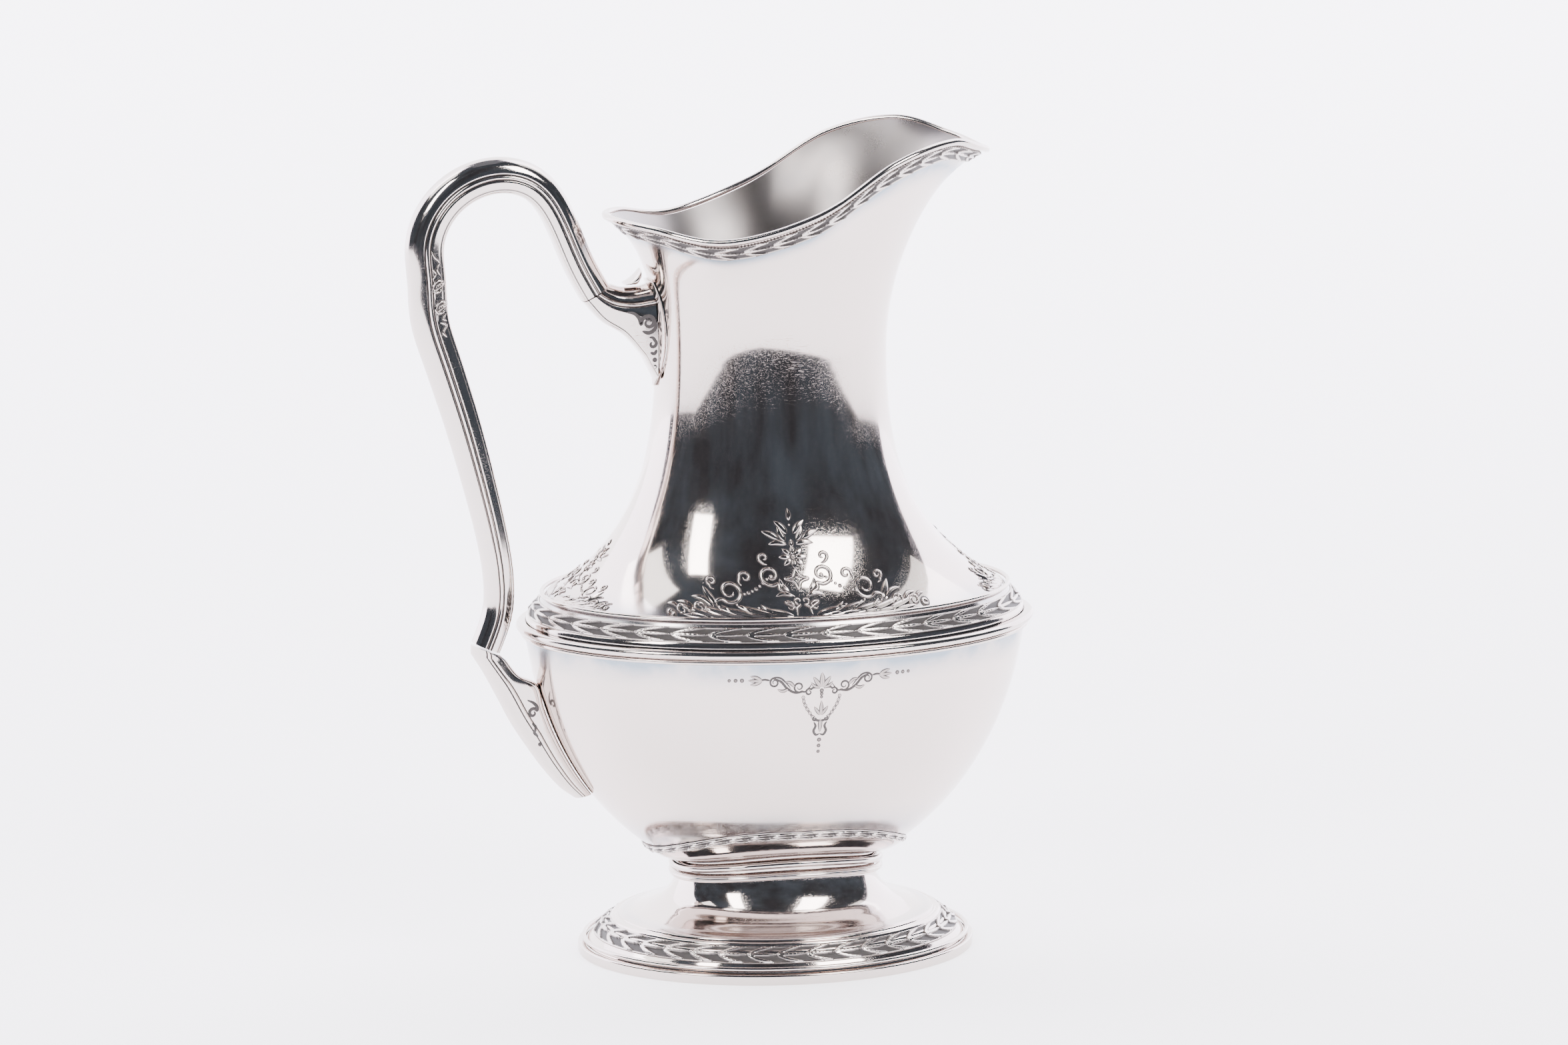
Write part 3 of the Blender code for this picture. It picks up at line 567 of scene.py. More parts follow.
# Across a stroke: place, height of a line's or a leaf's crown, and how dark each is there
ACROSS = np.array((-1, -1, -0.72, -0.36, 0, 0.36, 0.72, 1, 1))
CROWN = {False: np.array((0, 0, 0.62, 0.94, 1.0, 0.94, 0.62, 0, 0)),
         True: np.array((0, 0, 0.62, 0.94, 0.6, 0.94, 0.62, 0, 0))}
# The dark band at both ends of a stroke stands for its outline groove: oxide with painted shade
DEEP = {False: np.array((1, 1, 0.35, 0, 0, 0, 0.35, 1, 1)),
        True: np.array((1, 1, 0.35, 0, 0.4, 0, 0.35, 1, 1))}
# Rings of a dot: radius, height and darkness, for a solid one and for a hollow one
DOT_RINGS = np.array((1.35, 1.35, 1.0, 0.72, 0.4, 0.02))
DOT_TOPS = {False: (0.7, 0.95, 1.0), True: (0.7, 0.3, 0.05)}
# The dark outer ring of a dot stands for the groove round it: oxide with painted shade
DOT_DEEP = {False: np.array((1, 1, 1, 0.1, 0, 0)), True: np.array((1, 1, 1, 0.1, 0.5, 1))}
DOT_SIDES = 14
UNDER, CLEAR = -0.06, 0.02     # heights of the hidden underside and of the outer edge, in mm


class Relief:
    """Raised strokes, leaves and dots on a wall, in millimetres, gathered into one piece.

    Each is drawn at side times its u, so side -1 mirrors what is drawn. ink darkens the crowns.
    """

    def __init__(self, place, scale=(1.0, 1.0), shift=0.0):
        self.place, self.scale, self.shift, self.side = place, scale, shift, 1
        self.points, self.faces, self.recess, self.count = [], [], [], 0

    def put(self, u, v, lift, recess, faces):
        point, normal = self.place(u * self.scale[0] + self.shift, v * self.scale[1])
        self.points.append((point + normal * (lift * MM)[..., None]).reshape(-1, 3))
        self.recess.append(recess.reshape(-1))
        self.faces += [group + self.count for group in faces]
        self.count += len(self.points[-1])

    def stroke(self, knots, width, height=0.28, leaf=False, count=None, ditch=0.24, ink=0.0, taper=0.25):
        """A line through knots, with a flat dark band on each side for its outline groove: oxide with painted
        shade. A leaf has a midrib.
        """
        line = through([(self.side * u, v) for u, v in knots], count or max(10, 5 * len(knots)))
        along = unit(np.gradient(line, axis=0))
        p = np.linspace(0, 1, len(line))
        if leaf:
            size = 2.32 * np.clip(p, 0.01, 1) ** 0.5 * (1.004 - p) ** 0.75
        else:
            size = np.clip(np.minimum(p, 1 - p) / taper, 0, 1) ** 0.5 * 0.85 + 0.15
        size = size[:, None]
        away = size * width / 2 * ACROSS
        away[:, [0, -1]] += np.array((-ditch, ditch)) * np.minimum(size, 1)
        grid = np.stack((line[:, :1] - along[:, 1:] * away, line[:, 1:] + along[:, :1] * away,
                         CLEAR + np.minimum(size, 1) * height * CROWN[leaf],
                         np.broadcast_to(np.clip(DEEP[leaf] + ink, 0, 1), away.shape)))
        grid = np.concatenate((grid, grid[:, :, [-1, 0]]), axis=2)
        grid[2, :, -2:], grid[3, :, -2:] = UNDER, 1.0
        rows, columns = grid.shape[1:]
        ring = np.arange(columns)
        fan = np.stack((np.zeros(columns - 2, dtype=int), ring[1:-1], ring[2:]), axis=-1)
        self.put(*grid, [grid_faces(rows, columns, False, True), fan[:, ::-1], fan + (rows - 1) * columns])

    def dot(self, u, v, radius, height=0.3, hollow=False, ink=0.0):
        """A round bead, or a small ring with a hollow middle."""
        turns = np.arange(DOT_SIDES) * tau / DOT_SIDES
        du = DOT_RINGS[:, None] * radius * np.cos(turns)
        dv = DOT_RINGS[:, None] * radius * np.sin(turns)
        tops = np.concatenate(((UNDER, CLEAR, CLEAR), height * np.array(DOT_TOPS[hollow])))
        lift = np.broadcast_to(tops[:, None], du.shape)
        recess = np.broadcast_to(np.clip(DOT_DEEP[hollow] + ink, 0, 1)[:, None], du.shape)
        disc = fan_faces(np.arange(DOT_SIDES), 0)[1:-1, ::-1]
        last = (len(DOT_RINGS) - 1) * DOT_SIDES
        self.put(self.side * u + du, v + dv, lift, recess,
                 [grid_faces(*du.shape, False, True), disc + last, disc[:, ::-1]])

    def curl(self, centre, radius, start, turns, lead=(), width=0.75, **look):
        """A scroll: an optional lead-in, then a spiral that winds inwards. Positive turns go left."""
        steps = max(6, int(abs(turns) * 12))
        knots = list(lead)
        for share in np.arange(steps + 1) / steps:
            r = radius * (1 - 0.72 * share)
            turn = radians(start) + tau * turns * share
            knots.append((centre[0] + r * cos(turn), centre[1] + r * sin(turn)))
        self.stroke(knots, width, **look)

    def show(self, name, slot):
        by_size = {}
        for group in self.faces:
            by_size.setdefault(group.shape[1], []).append(group)
        faces = [np.concatenate(groups) for groups in by_size.values()]
        show(name, np.concatenate(self.points), faces, slot, recess=np.concatenate(self.recess), sharp=60)


def on_wall(surface, stations, heights, centre, reach=46.0):
    """place(u, v) for a wall: u millimetres round from the centre angle, v up the drawn heights."""
    spread = np.radians(np.linspace(-75, 75, 301))
    across = np.linspace(-reach, reach, 185)
    table = []
    for station in stations:
        points = surface(centre + spread, np.full(spread.shape, station))
        arcs = np.concatenate(((0,), np.cumsum(np.linalg.norm(np.diff(points, axis=0), axis=1)))) / MM
        table.append(np.interp(across, arcs - arcs[len(arcs) // 2], spread))
    table = np.array(table)
    order = np.argsort(heights)

    def place(u, v):
        level = np.interp(v, np.asarray(heights)[order], np.arange(len(stations))[order].astype(float))
        column = np.clip((np.asarray(u) + reach) / (2 * reach), 0, 1) * (len(across) - 1)
        i = np.clip(level.astype(int), 0, len(stations) - 2)
        j = np.clip(column.astype(int), 0, len(across) - 2)
        s, t = level - i, column - j
        turn = ((1 - s) * ((1 - t) * table[i, j] + t * table[i, j + 1])
                + s * ((1 - t) * table[i + 1, j] + t * table[i + 1, j + 1]))
        station = (1 - s) * np.asarray(stations)[i] + s * np.asarray(stations)[i + 1]
        return surface(centre + turn, station), normal_of(surface, centre + turn, station)
    return place


# ---------------------------------------------------------------- the vessel's walls

def level_rings(surface, stations):
    return [surface(ROUND, np.full(ROUND.shape, station)) for station in stations]


def near(values, place, width):
    """1 at a place, fading to 0 over a width."""
    return np.clip(1 - np.abs(np.asarray(values) - place) / width, 0, 1) ** 1.5


def make_bowl():
    top = asin((BOWL_CENTRE_Z - BOWL_TOP_Z) / BOWL_H)
    rings = level_rings(bowl_wall, np.linspace(top, BOWL_TURN, 34))
    start_a, start_b = BOWL_A * cos(BOWL_TURN), BOWL_B * cos(BOWL_TURN)
    for t in np.linspace(0, 1, 60)[1:]:
        a = start_a + (CUP_A - BOWL_SETBACK - start_a) * t
        b = start_b + (CUP_B - BOWL_SETBACK - start_b) * t
        rings.append(on_bowl(ROUND, a, b, CUP_SHIFT * t, 2 + (CUP_SQUARE - 2) * t))
    edge = rings[-1]
    for t in np.linspace(0.1, 1, 12):
        ring = edge * (1 - 0.55 * t, 1 - 0.55 * t, 1.0)
        ring[:, 2] += (BOWL_FLOOR_Z - ring[:, 2]) * t ** 0.6
        rings.append(ring)
    rings = np.array(rings)
    both = np.concatenate((offset(rings, -SHEET)[::-1], rings))
    points = np.concatenate((both.reshape(-1, 3), both[[0, -1]].mean(axis=1)))
    last = both.shape[0] * SEGMENTS
    inner = fan_faces(np.arange(SEGMENTS), last)
    outer = fan_faces(np.arange(SEGMENTS) + last - SEGMENTS, last + 1)[:, ::-1]
    height = both[:, :, 2].mean(axis=1)
    # Bluish darkening just under the seam band and just above the cup: tarnish and painted shade
    tarnish_shade_bands = near(height, BOWL_TOP_Z, 0.009) * 1.5 + near(height, 0.042, 0.009) * 0.6
    tarnish_shade = np.concatenate((np.repeat(tarnish_shade_bands, SEGMENTS), (INSIDE_TARNISH_SHADE, INSIDE_TARNISH_SHADE)))
    faces = [grid_faces(*both.shape[:2], False, True), inner, outer]
    show("bowl_silver", points, faces, "polished_silver", ("bowl_shell",), tarnish_shade=tarnish_shade, sharp=60)


def make_neck():
    upper = np.concatenate((np.linspace(0, 0.2, 28), np.linspace(0.2, 1, 56)[1:]))
    rings = level_rings(upper_wall, upper) + level_rings(lower_neck, np.linspace(0, 1, 90))[1:]
    rings += level_rings(slope, np.linspace(0, 1, 14))[1:]
    rings += [oval(ROUND, z, SEAM_A, SEAM_B) for z in np.linspace(SLOPE_FOOT_Z, FLANGE_Z, 6)[1:]]
    height = np.array(rings)[:, :, 2].mean(axis=1)
    # Bluish darkening at the shoulder and under the rim's flare: tarnish and painted shade
    tarnish_shade_bands = near(height, SHOULDER_Z, 0.006) * 0.8
    tarnish_shade_bands[:len(upper)] += near(upper, 0.16, 0.13) * 1.4
    shell("neck_silver", rings, "neck_shell", tarnish_shade_bands)


RIM_SHARE = 0.87               # of the rim wire's radius, so that its turns stay inside the CAD wire


def make_mouth():
    level, climb, _ = mouth_slope(ROUND)
    across = unit(np.cross(np.cross(level, climb), climb))
    centre = mouth_edge(ROUND) - climb * RIM_WIRE
    wire("rim_wire_silver", centre, round_outline(RIM_SHARE * RIM_WIRE, sides=28), "rim_wire", climb, across)
    border("rim_leaves", "rim_leaf_border", below_mouth, (RIM_BORDER_TOP, RIM_BORDER_TOP + RIM_BORDER_WIDTH),
           8.9, rows=26, columns=44, thickness=0.8 * MM, beaded=True)


def make_shoulder():
    border("shoulder_leaves", "shoulder_leaf_border", slope, SHOULDER_BORDER, 11.4, rows=34, columns=56)
    lift = GAP + BEAD_WIRE
    bead = round_outline(BEAD_WIRE, (BEAD_SEAT[0] * lift, BEAD_SEAT[1] * lift))
    wire("shoulder_bead_silver", slope(ROUND, np.zeros(SEGMENTS)), bead, "shoulder_bead_wire")
    seam = oval(ROUND, 0.0, SEAM_A, SEAM_B)
    band = half_round(BAND_REACH, 0.45, BAND_BOTTOM_Z, BAND_TOP_Z)
    wire("shoulder_band_silver", seam, band, "shoulder_moulding")
    lip = half_round(LIP_REACH, 0.5, LIP_BOTTOM_Z, BAND_BOTTOM_Z - GAP)
    wire("seam_wire_silver", seam, lip, "seam_wire")


# Mouldings turned into the trumpet: place down it, half width, height, in shares of its length and mm
TRUMPET_LINES = ((0.66, 0.004, -0.25), (0.70, 0.022, 0.55), (0.735, 0.006, -0.35), (0.765, 0.012, 0.25))
# Even bluish darkening of the cup under the bowl: tarnish and painted shade
CUP_TARNISH_SHADE = 0.2


def make_foot():
    cup = np.array(level_rings(cup_wall, np.linspace(0, 1, 44)))
    inside = offset(cup, -SHEET)
    under = bowl_height(inside[0, :, 0], inside[0, :, 1]) - 2 * GAP
    inside[0, :, 2] = np.minimum(inside[0, :, 2], under)
    both = np.concatenate((cup, inside[::-1]))
    show("foot_cup_silver", both, [grid_faces(*both.shape[:2], True, True)], "polished_silver", ("foot_cup",),
         tarnish_shade=np.full(both.shape[:2], CUP_TARNISH_SHADE), sharp=50)
    border("cup_leaves", "cup_leaf_border", below_cup_edge, CUP_BORDER, 6.6, 20, 34, thickness=0.7 * MM)
    seat = (GAP + COLLAR_WIRE, 0.0)
    wire("collar_upper_silver", oval(ROUND, *COLLAR_UPPER), round_outline(COLLAR_WIRE, seat, 32),
         "collar_upper_ring")
    wire("collar_lower_silver", oval(ROUND, *COLLAR_LOWER), round_outline(COLLAR_WIRE, seat, 60, 10, 0.05),
         "collar_lower_ring")
    stations = np.linspace(0, 1, 190)
    relief = sum(height * dome_over(((stations - place) / width) ** 2)
                 for place, width, height in TRUMPET_LINES)
    rings = offset(np.array(level_rings(trumpet_wall, stations)), (relief * MM)[:, None, None])
    shell("foot_trumpet_silver", rings, "foot_trumpet", near(stations, 0.6, 0.1) * 0.4)
    levels = [np.argmin(np.abs(FOOT_PROFILE[:, 0] - z)) / (len(FOOT_PROFILE) - 1)
              for z in (TRUMPET[8][0], TRUMPET[9][0] + 0.0005)]
    border("foot_leaves", "foot_leaf_border", trumpet_wall, levels, 8.9, rows=34)
    base = oval(ROUND, 0.0, FOOT_A, FOOT_B)
    quarter = np.radians(range(0, 91, 15))
    rim = [(GAP, 0.0)]
    rim += [(FOOT_REACH - LIP_ROUND * (1 - sin(t)), LIP_ROUND * (1 - cos(t))) for t in quarter]
    rim += [(FOOT_REACH - BAND_ROUND * (1 - cos(t)), FOOT_RIM_TOP_Z - BAND_ROUND * (1 - sin(t)))
            for t in quarter]
    wire("foot_rim_silver", base, rim + [(GAP, FOOT_RIM_TOP_Z)], "foot_rim_ring")
    bead = round_outline(BEAD_WIRE, (FOOT_BEAD_REACH, FOOT_BEAD_Z))
    wire("foot_bead_silver", base, bead, "foot_bead_wire")


# ---------------------------------------------------------------- ornament

# Acanthus leaves along the shoulder: start, length, rise
ACANTHUS = ((3.4, 9.0, 2.0), (8.2, 10.0, 3.0), (13.8, 9.5, 2.4), (19.0, 10.0, 3.0), (25.0, 8.5, 2.6))


def shoulder_ornament(relief):
    """Chased relief of scrolls, a flower and leaves. u from its middle line, v up from the shoulder."""
    def leaf(width, *points, height=0.42):
        relief.stroke(points, width, height, leaf=True)

    def curl(centre, radius, start, turns, width, *lead):
        relief.curl(centre, radius, start, turns * 0.8, lead, width * 0.9, height=0.36)

    star = ((0, 15.0), (3.6, 11.9), (0, 8.3), (-3.6, 11.9), (0, 15.0))
    for (u0, v0), (u1, v1) in zip(star[:-1], star[1:]):
        bend = ((u0 + u1) / 2 * 0.55, 11.8 + ((v0 + v1) / 2 - 11.8) * 0.55)
        relief.stroke([(u0, v0), bend, (u1, v1)], 0.62, 0.3, taper=0.1)
    for turn in tau * np.arange(8) / 8:
        leaf(1.35, (0.9 * cos(turn), 18.4 + 0.8 * sin(turn)), (4.0 * cos(turn), 18.4 + 3.5 * sin(turn)))
    relief.dot(0, 18.4, 0.62, 0.45, hollow=True)
    leaf(1.1, (0, 29.4), (0.1, 31.2), (-0.2, 33.0), height=0.4)
    relief.dot(0, 28.0, 0.3, 0.3)
    leaf(1.0, (0, 21.4), (0, 23.8), height=0.35)
    for side in (-1, 1):
        relief.side = side
        leaf(1.5, (1.4, 22.3), (4.0, 22.8), (6.4, 22.3))
        leaf(1.7, (3.6, 23.9), (5.6, 25.3), (7.9, 26.2))
        leaf(1.5, (1.7, 23.3), (2.6, 25.0), (3.4, 27.6))
        leaf(1.6, (1.0, 25.4), (2.4, 27.6), (4.2, 29.3))
        # big scroll beside the star, with the small one that leaves its back
        curl((7.3, 13.0), 3.2, -125, 1.55, 0.85, (1.6, 6.6), (3.8, 7.9), (5.4, 9.0))
        curl((8.4, 18.3), 1.5, -60, 1.2, 0.7, (7.6, 16.2), (8.6, 16.5))
        relief.dot(7.1, 12.7, 0.5, 0.35)
        for k in range(8):
            share = k / 7
            v = 11.9 - 4.6 * share - 0.9 * sin(pi * share)
            relief.dot(8.4 + 8.2 * share, v, 0.36 + 0.12 * (k % 2), hollow=k % 2 == 1)
        # outer scroll, its small companions and the leaves at its shoulder
        curl((19.4, 8.4), 3.6, -40, -1.7, 0.85, (22.0, 1.8), (23.4, 3.4), (24.0, 5.2))
        curl((14.4, 12.6), 1.7, -10, 1.3, 0.7, (15.8, 10.0), (16.4, 11.2))
        curl((24.0, 11.4), 1.4, -60, 1.5, 0.65, (23.6, 9.0), (24.6, 9.6))
        leaf(1.9, (24.2, 4.6), (25.6, 7.4), (26.6, 9.8))
        leaf(1.6, (24.8, 4.0), (27.8, 6.4), (30.4, 6.8))
        # petals and loops at the foot of the star
        leaf(1.3, (3.0, 8.4), (4.4, 9.8), (4.9, 12.0))
        leaf(1.2, (2.2, 6.8), (4.6, 7.5), (6.9, 6.8))
        curl((1.0, 5.2), 1.2, -100, 1.1, 0.6, (2.2, 2.0), (1.6, 3.4))
        curl((3.7, 3.6), 1.6, 60, 1.0, 0.65, (2.2, 1.0), (1.9, 2.6))
        for start, length, rise in ACANTHUS:
            leaf(2.2, (start, 0.9), (start + length * 0.5, 1.1 + rise * 0.35), (start + length, 1.0 + rise))
            leaf(1.5, (start + 1.0, 0.6), (start + length * 0.6, 0.9),
                 (start + length * 1.04, 0.7 + rise * 0.25), height=0.36)
            leaf(1.1, (start + length * 0.55, 2.0), (start + length * 0.8, 3.2),
                 (start + length * 0.92, 4.4), height=0.36)
            relief.dot(start + length, 1.4 + rise, 0.34, 0.36)
        curl((28.8, 3.4), 1.9, 200, -1.5, 0.7, (24.4, 1.4), (26.2, 2.6))
        curl((33.9, 2.7), 1.7, 180, -1.5, 0.7, (30.4, 1.0), (31.8, 1.6))
        relief.dot(37.2, 1.7, 1.25, 0.45, hollow=True)
        leaf(1.3, (30.2, 2.9), (32.4, 4.8), (34.8, 5.2))
        leaf(1.1, (34.6, 3.3), (36.2, 4.4), (37.8, 4.4))
        ground = [(0.6, 0.25), (10, 0.25), (20, 0.25), (30, 0.25), (36, 0.3)]
        relief.stroke(ground, 0.4, 0.22, ditch=0.12, taper=0.04)


ENGRAVING_TOP = 0.0975


def bowl_ornament(relief):
    """Fine engraving below the seam. v is 0 at its top and falls downwards."""
    def line(*points, width=0.46, count=None):
        relief.stroke(points, width, 0.06, ditch=0.16, ink=1.0, count=count)

    def petal(width, *points):
        relief.stroke(points, width, 0.08, leaf=True, ditch=0.16, ink=0.35)

    def curl(centre, radius, start, turns, *lead):
        relief.curl(centre, radius, start, turns, lead, 0.34, height=0.06, ditch=0.12, ink=1.0)

    def drops(u, v, across, down, sizes):
        for k, size in enumerate(sizes):
            relief.dot(u + across * k, v - down * k, size, 0.08, ink=0.8)

    # the lily in the middle, on its small drops
    petal(1.5, (0, -5.2), (0.1, -3.0), (0, -0.6))
    drops(0, -6.3, 0, 1.0, (0.5, 0.42, 0.36))
    # the bell at the foot of the chains, with three leaves over it and three dots under it
    petal(1.0, (0, -14.0), (0.1, -11.6), (0, -9.4))
    petal(1.1, (0, -15.2), (0, -19.6))
    line((-2.0, -15.4), (0, -15.9), (2.0, -15.4))
    drops(0, -22.0, 0, 1.9, (0.5, 0.46, 0.4))
    for side in (-1, 1):
        relief.side = side
        petal(1.2, (0.3, -5.2), (1.5, -3.6), (2.7, -1.9))
        petal(0.8, (0.5, -5.3), (2.2, -4.8), (3.4, -3.6))
        curl((3.9, -6.6), 1.1, 130, -1.2, (0.6, -5.6), (2.0, -5.3), (3.0, -5.5))
        curl((7.0, -4.9), 1.7, 235, 1.35, (3.2, -4.2), (4.2, -5.6), (5.4, -6.5))
        line((5.2, -6.4), (8.2, -6.6), (10.6, -5.2), (12.6, -3.0), (15.2, -1.9), count=26)
        curl((14.4, -3.3), 1.5, 80, -1.4, (9.4, -5.4), (11.2, -3.2), (12.8, -1.9))
        petal(0.8, (8.4, -4.8), (9.8, -3.4), (11.4, -3.0))
        petal(0.8, (10.2, -5.4), (12.0, -6.0), (13.6, -5.4))
        # bell flower lying on its side, and three dots beyond it
        line((15.8, -2.6), (17.6, -2.3), (18.8, -2.6), width=0.3)
        petal(0.9, (18.2, -2.6), (20.0, -1.6), (21.8, -1.2))
        petal(0.9, (18.2, -2.6), (20.4, -2.6), (22.4, -2.5))
        petal(0.9, (18.2, -2.6), (20.0, -3.6), (21.8, -3.9))
        drops(24.2, -2.5, 1.9, 0, (0.5, 0.46, 0.4))
        # the swinging chain, open and solid beads in turn
        for k in range(12):
            share, solid = k / 11, k % 2
            relief.dot(5.6 - 3.7 * share ** 1.6, -8.2 - 7.0 * share, 0.42 - 0.12 * solid, 0.08,
                       hollow=not solid, ink=0.8 * solid)
        petal(0.8, (0.2, -14.0), (1.2, -12.6), (2.2, -11.2))
        curl((1.7, -15.2), 0.8, 90, -1.0)
        line((2.0, -16.2), (1.4, -17.4), (1.9, -19.2), (1.0, -20.4), (0, -20.0))


VIEW_TILT = 0.187              # downward tilt of the view in which the chasing's heights are drawn
WIDE, NARROW = (1.08, 1.0), (0.74, 0.62)
CHASING = (("front", 1.5, WIDE, -3.6), ("back", 0.5, WIDE, 3.6),
           ("handle_side", 1.0, NARROW, 0.0), ("spout_side", 0.0, NARROW, 0.0))


def make_ornament():
    """The chasing on four sides of the shoulder and the engraving on two sides of the bowl."""
    stations = np.linspace(0.30, 1.0, 70)
    for name, centre, scale, shift in CHASING:
        middle = lower_neck(np.full(stations.shape, centre * pi), stations)
        reach = np.hypot(middle[:, 0], middle[:, 1])
        drawn = (middle[:, 2] * cos(VIEW_TILT) - reach * sin(VIEW_TILT)) / MM
        relief = Relief(on_wall(lower_neck, stations, drawn - drawn[-1] - 0.9, centre * pi), scale, shift)
        shoulder_ornament(relief)
        relief.show("shoulder_chasing_" + name, "polished_silver")
    stations = np.linspace(0.10, 0.62, 60)
    for name, centre in (("front", 1.5), ("back", 0.5)):
        drawn = (bowl_wall(np.full(stations.shape, centre * pi), stations)[:, 2] - ENGRAVING_TOP) / MM
        relief = Relief(on_wall(bowl_wall, stations, drawn, centre * pi))
        bowl_ornament(relief)
        relief.show("bowl_engraving_" + name, "polished_silver")


# ---------------------------------------------------------------- handle

HANDLE_COUNT = 260
HANDLE_SMOOTHING = 50          # passes that even out the curve's bends
# Half section of the handle: (share of the depth, share of the half width), from spine to inside
HANDLE_SECTION = ((1.0, 0.0), (0.98, 0.187), (0.922, 0.366), (0.828, 0.529), (0.702, 0.669), (0.55, 0.779),
                  (0.378, 0.856), (0.24, 0.89), (0.17, 0.89), (0.13, 0.835), (0.105, 0.835), (0.085, 0.90),
                  (0.04, 0.965), (-0.03, 0.985), (-0.10, 0.96), (-0.14, 0.88), (-0.175, 0.865), (-0.20, 0.91),
                  (-0.23, 0.925), (-0.35, 0.90), (-0.47, 0.875), (-0.58, 0.85), (-0.66, 0.83),
                  (-0.70, 0.79), (-0.735, 0.80), (-0.80, 0.785), (-0.88, 0.71), (-0.95, 0.55), (-0.975, 0.36),
                  (-0.98, 0.18), (-0.98, 0.0))
FULL_SECTION = HANDLE_SECTION + tuple((n, -w) for n, w in HANDLE_SECTION[-2:0:-1])
HANDLE_DARK = (0.13, 0.105, -0.14, -0.175, -0.70)       # depths of the grooves
FULL_DARK = [1.0 if n in HANDLE_DARK else 0.0 for n, _ in FULL_SECTION]
PANEL_SHARES = (0.615, 0.83)   # where the flat side begins and ends, from spine to inside


def handle_frames():
    """Centre line of the handle with its outward direction and depth."""
    arch = [(ARCH_X + ARCH_RADIUS * cos(t), ARCH_Z + ARCH_RADIUS * sin(t)) for t in np.radians(ARCH_TURNS)]
    route = through([*HANDLE_LEG, *arch, *HANDLE_ARM], HANDLE_COUNT)
    for _ in range(HANDLE_SMOOTHING):
        route[1:-1] = (route[:-2] + 2 * route[1:-1] + route[2:]) / 4
    tangent = unit(np.gradient(route, axis=0))
    out = np.stack((-tangent[:, 1], tangent[:, 0]), axis=1)
    return route, out, smooth(HANDLE_DEPTH, np.linspace(0, 1, HANDLE_COUNT))


def make_handle():
    route, out, depth = handle_frames()
    half = HANDLE_WIDTH / 2
    outline = [(n * depth / 2, w * half) for n, w in HANDLE_SECTION]
    outline += [(n * (depth / 2 - HANDLE_WALL), w * (half - HANDLE_WALL)) for n, w in HANDLE_SECTION[::-3]]
    dark = FULL_DARK[:len(HANDLE_SECTION)] + [0.5] * (len(outline) - len(HANDLE_SECTION))
    for side, node in ((1, "handle_left_half"), (-1, "handle_right_half")):
        loops = [np.stack((route[:, 0] + out[:, 0] * n, np.full(HANDLE_COUNT, side * (w + GAP / 8)),
                           route[:, 1] + out[:, 1] * n), axis=1) for n, w in outline]
        closed_loft(node + "_silver", np.transpose(loops, (1, 0, 2)), node, dark, 70)


SCROLL_FROM, SCROLL_INWARD = 0.468, 0.0024  # share of the handle's length, and distance from its middle
SCROLL_SPAN = 22               # points of the centre line that give the scrolls' direction
BOLD = {"height": 0.34, "ditch": 0.3}
FLAT = {"height": 0.05, "ditch": 0.14, "ink": 1.0}


def handle_scrolls(relief):
    """Cut scrolls on the handle's flat side. u runs up the handle from their foot, v towards the spine."""
    relief.stroke([(0.0, -0.6), (1.8, 0.4), (3.4, -0.9), (5.0, 0.9)], 0.7, **BOLD)
    relief.stroke([(4.6, -1.3), (5.8, -0.2), (7.0, -1.4)], 0.6, **BOLD)
    for foot in (9.0, 15.4):
        relief.curl((foot, 0.0), 2.1, -60, 1.4, [(foot - 3.2, 1.5), (foot - 1.2, 1.3)], **BOLD)
        relief.curl((foot + 0.3, -1.0), 0.9, 100, -0.9, width=0.45, **BOLD)
    relief.stroke([(18.2, 1.4), (19.8, 0.2), (21.4, 1.3)], 0.6, **BOLD)
    relief.stroke([(18.6, -1.2), (20.8, -0.4), (22.6, -1.4), (24.4, -0.2), (26.6, 0.6)], 0.6, **BOLD)


def root_scrolls(relief):
    """The cut C-scroll and the smaller crescents below it. u towards the neck, v up, from its middle."""
    relief.curl((0.4, 0.2), 2.3, 190, -1.3, [(-6.4, 3.6), (-4.0, 3.0), (-2.6, 1.6)], 0.9, **FLAT)
    relief.stroke([(-1.6, -2.4), (0.4, -3.0), (2.2, -2.0), (2.9, 0.2)], 0.9, **FLAT)
    relief.curl((1.6, -6.4), 1.3, 60, -0.9, [(0.6, -4.4), (1.8, -4.6)], 0.7, **FLAT)
    relief.stroke([(0.9, -9.0), (2.2, -9.4), (2.9, -8.2)], 0.7, **FLAT)
    relief.dot(2.3, -11.3, 0.55, 0.06, ink=1.0)
    relief.dot(2.4, -13.4, 0.45, 0.06, ink=1.0)


def lower_scrolls(relief):
    """The scroll, the short S and the dot on the side of the tongue that lies on the bowl."""
    relief.curl((1.2, 0.5), 1.5, 30, 1.1, [(-0.6, 4.6), (1.6, 3.4), (2.6, 1.8)], **FLAT)
    relief.stroke([(0.8, -2.6), (2.0, -4.0), (1.6, -5.6), (2.8, -7.0)], 0.7, **FLAT)
    relief.dot(3.4, -9.4, 0.5, 0.06, ink=1.0)


def ray_tree(piece):
    mesh = bpy.data.objects[piece].data
    return BVHTree.FromPolygons([v.co for v in mesh.vertices], [tuple(p.vertices) for p in mesh.polygons])


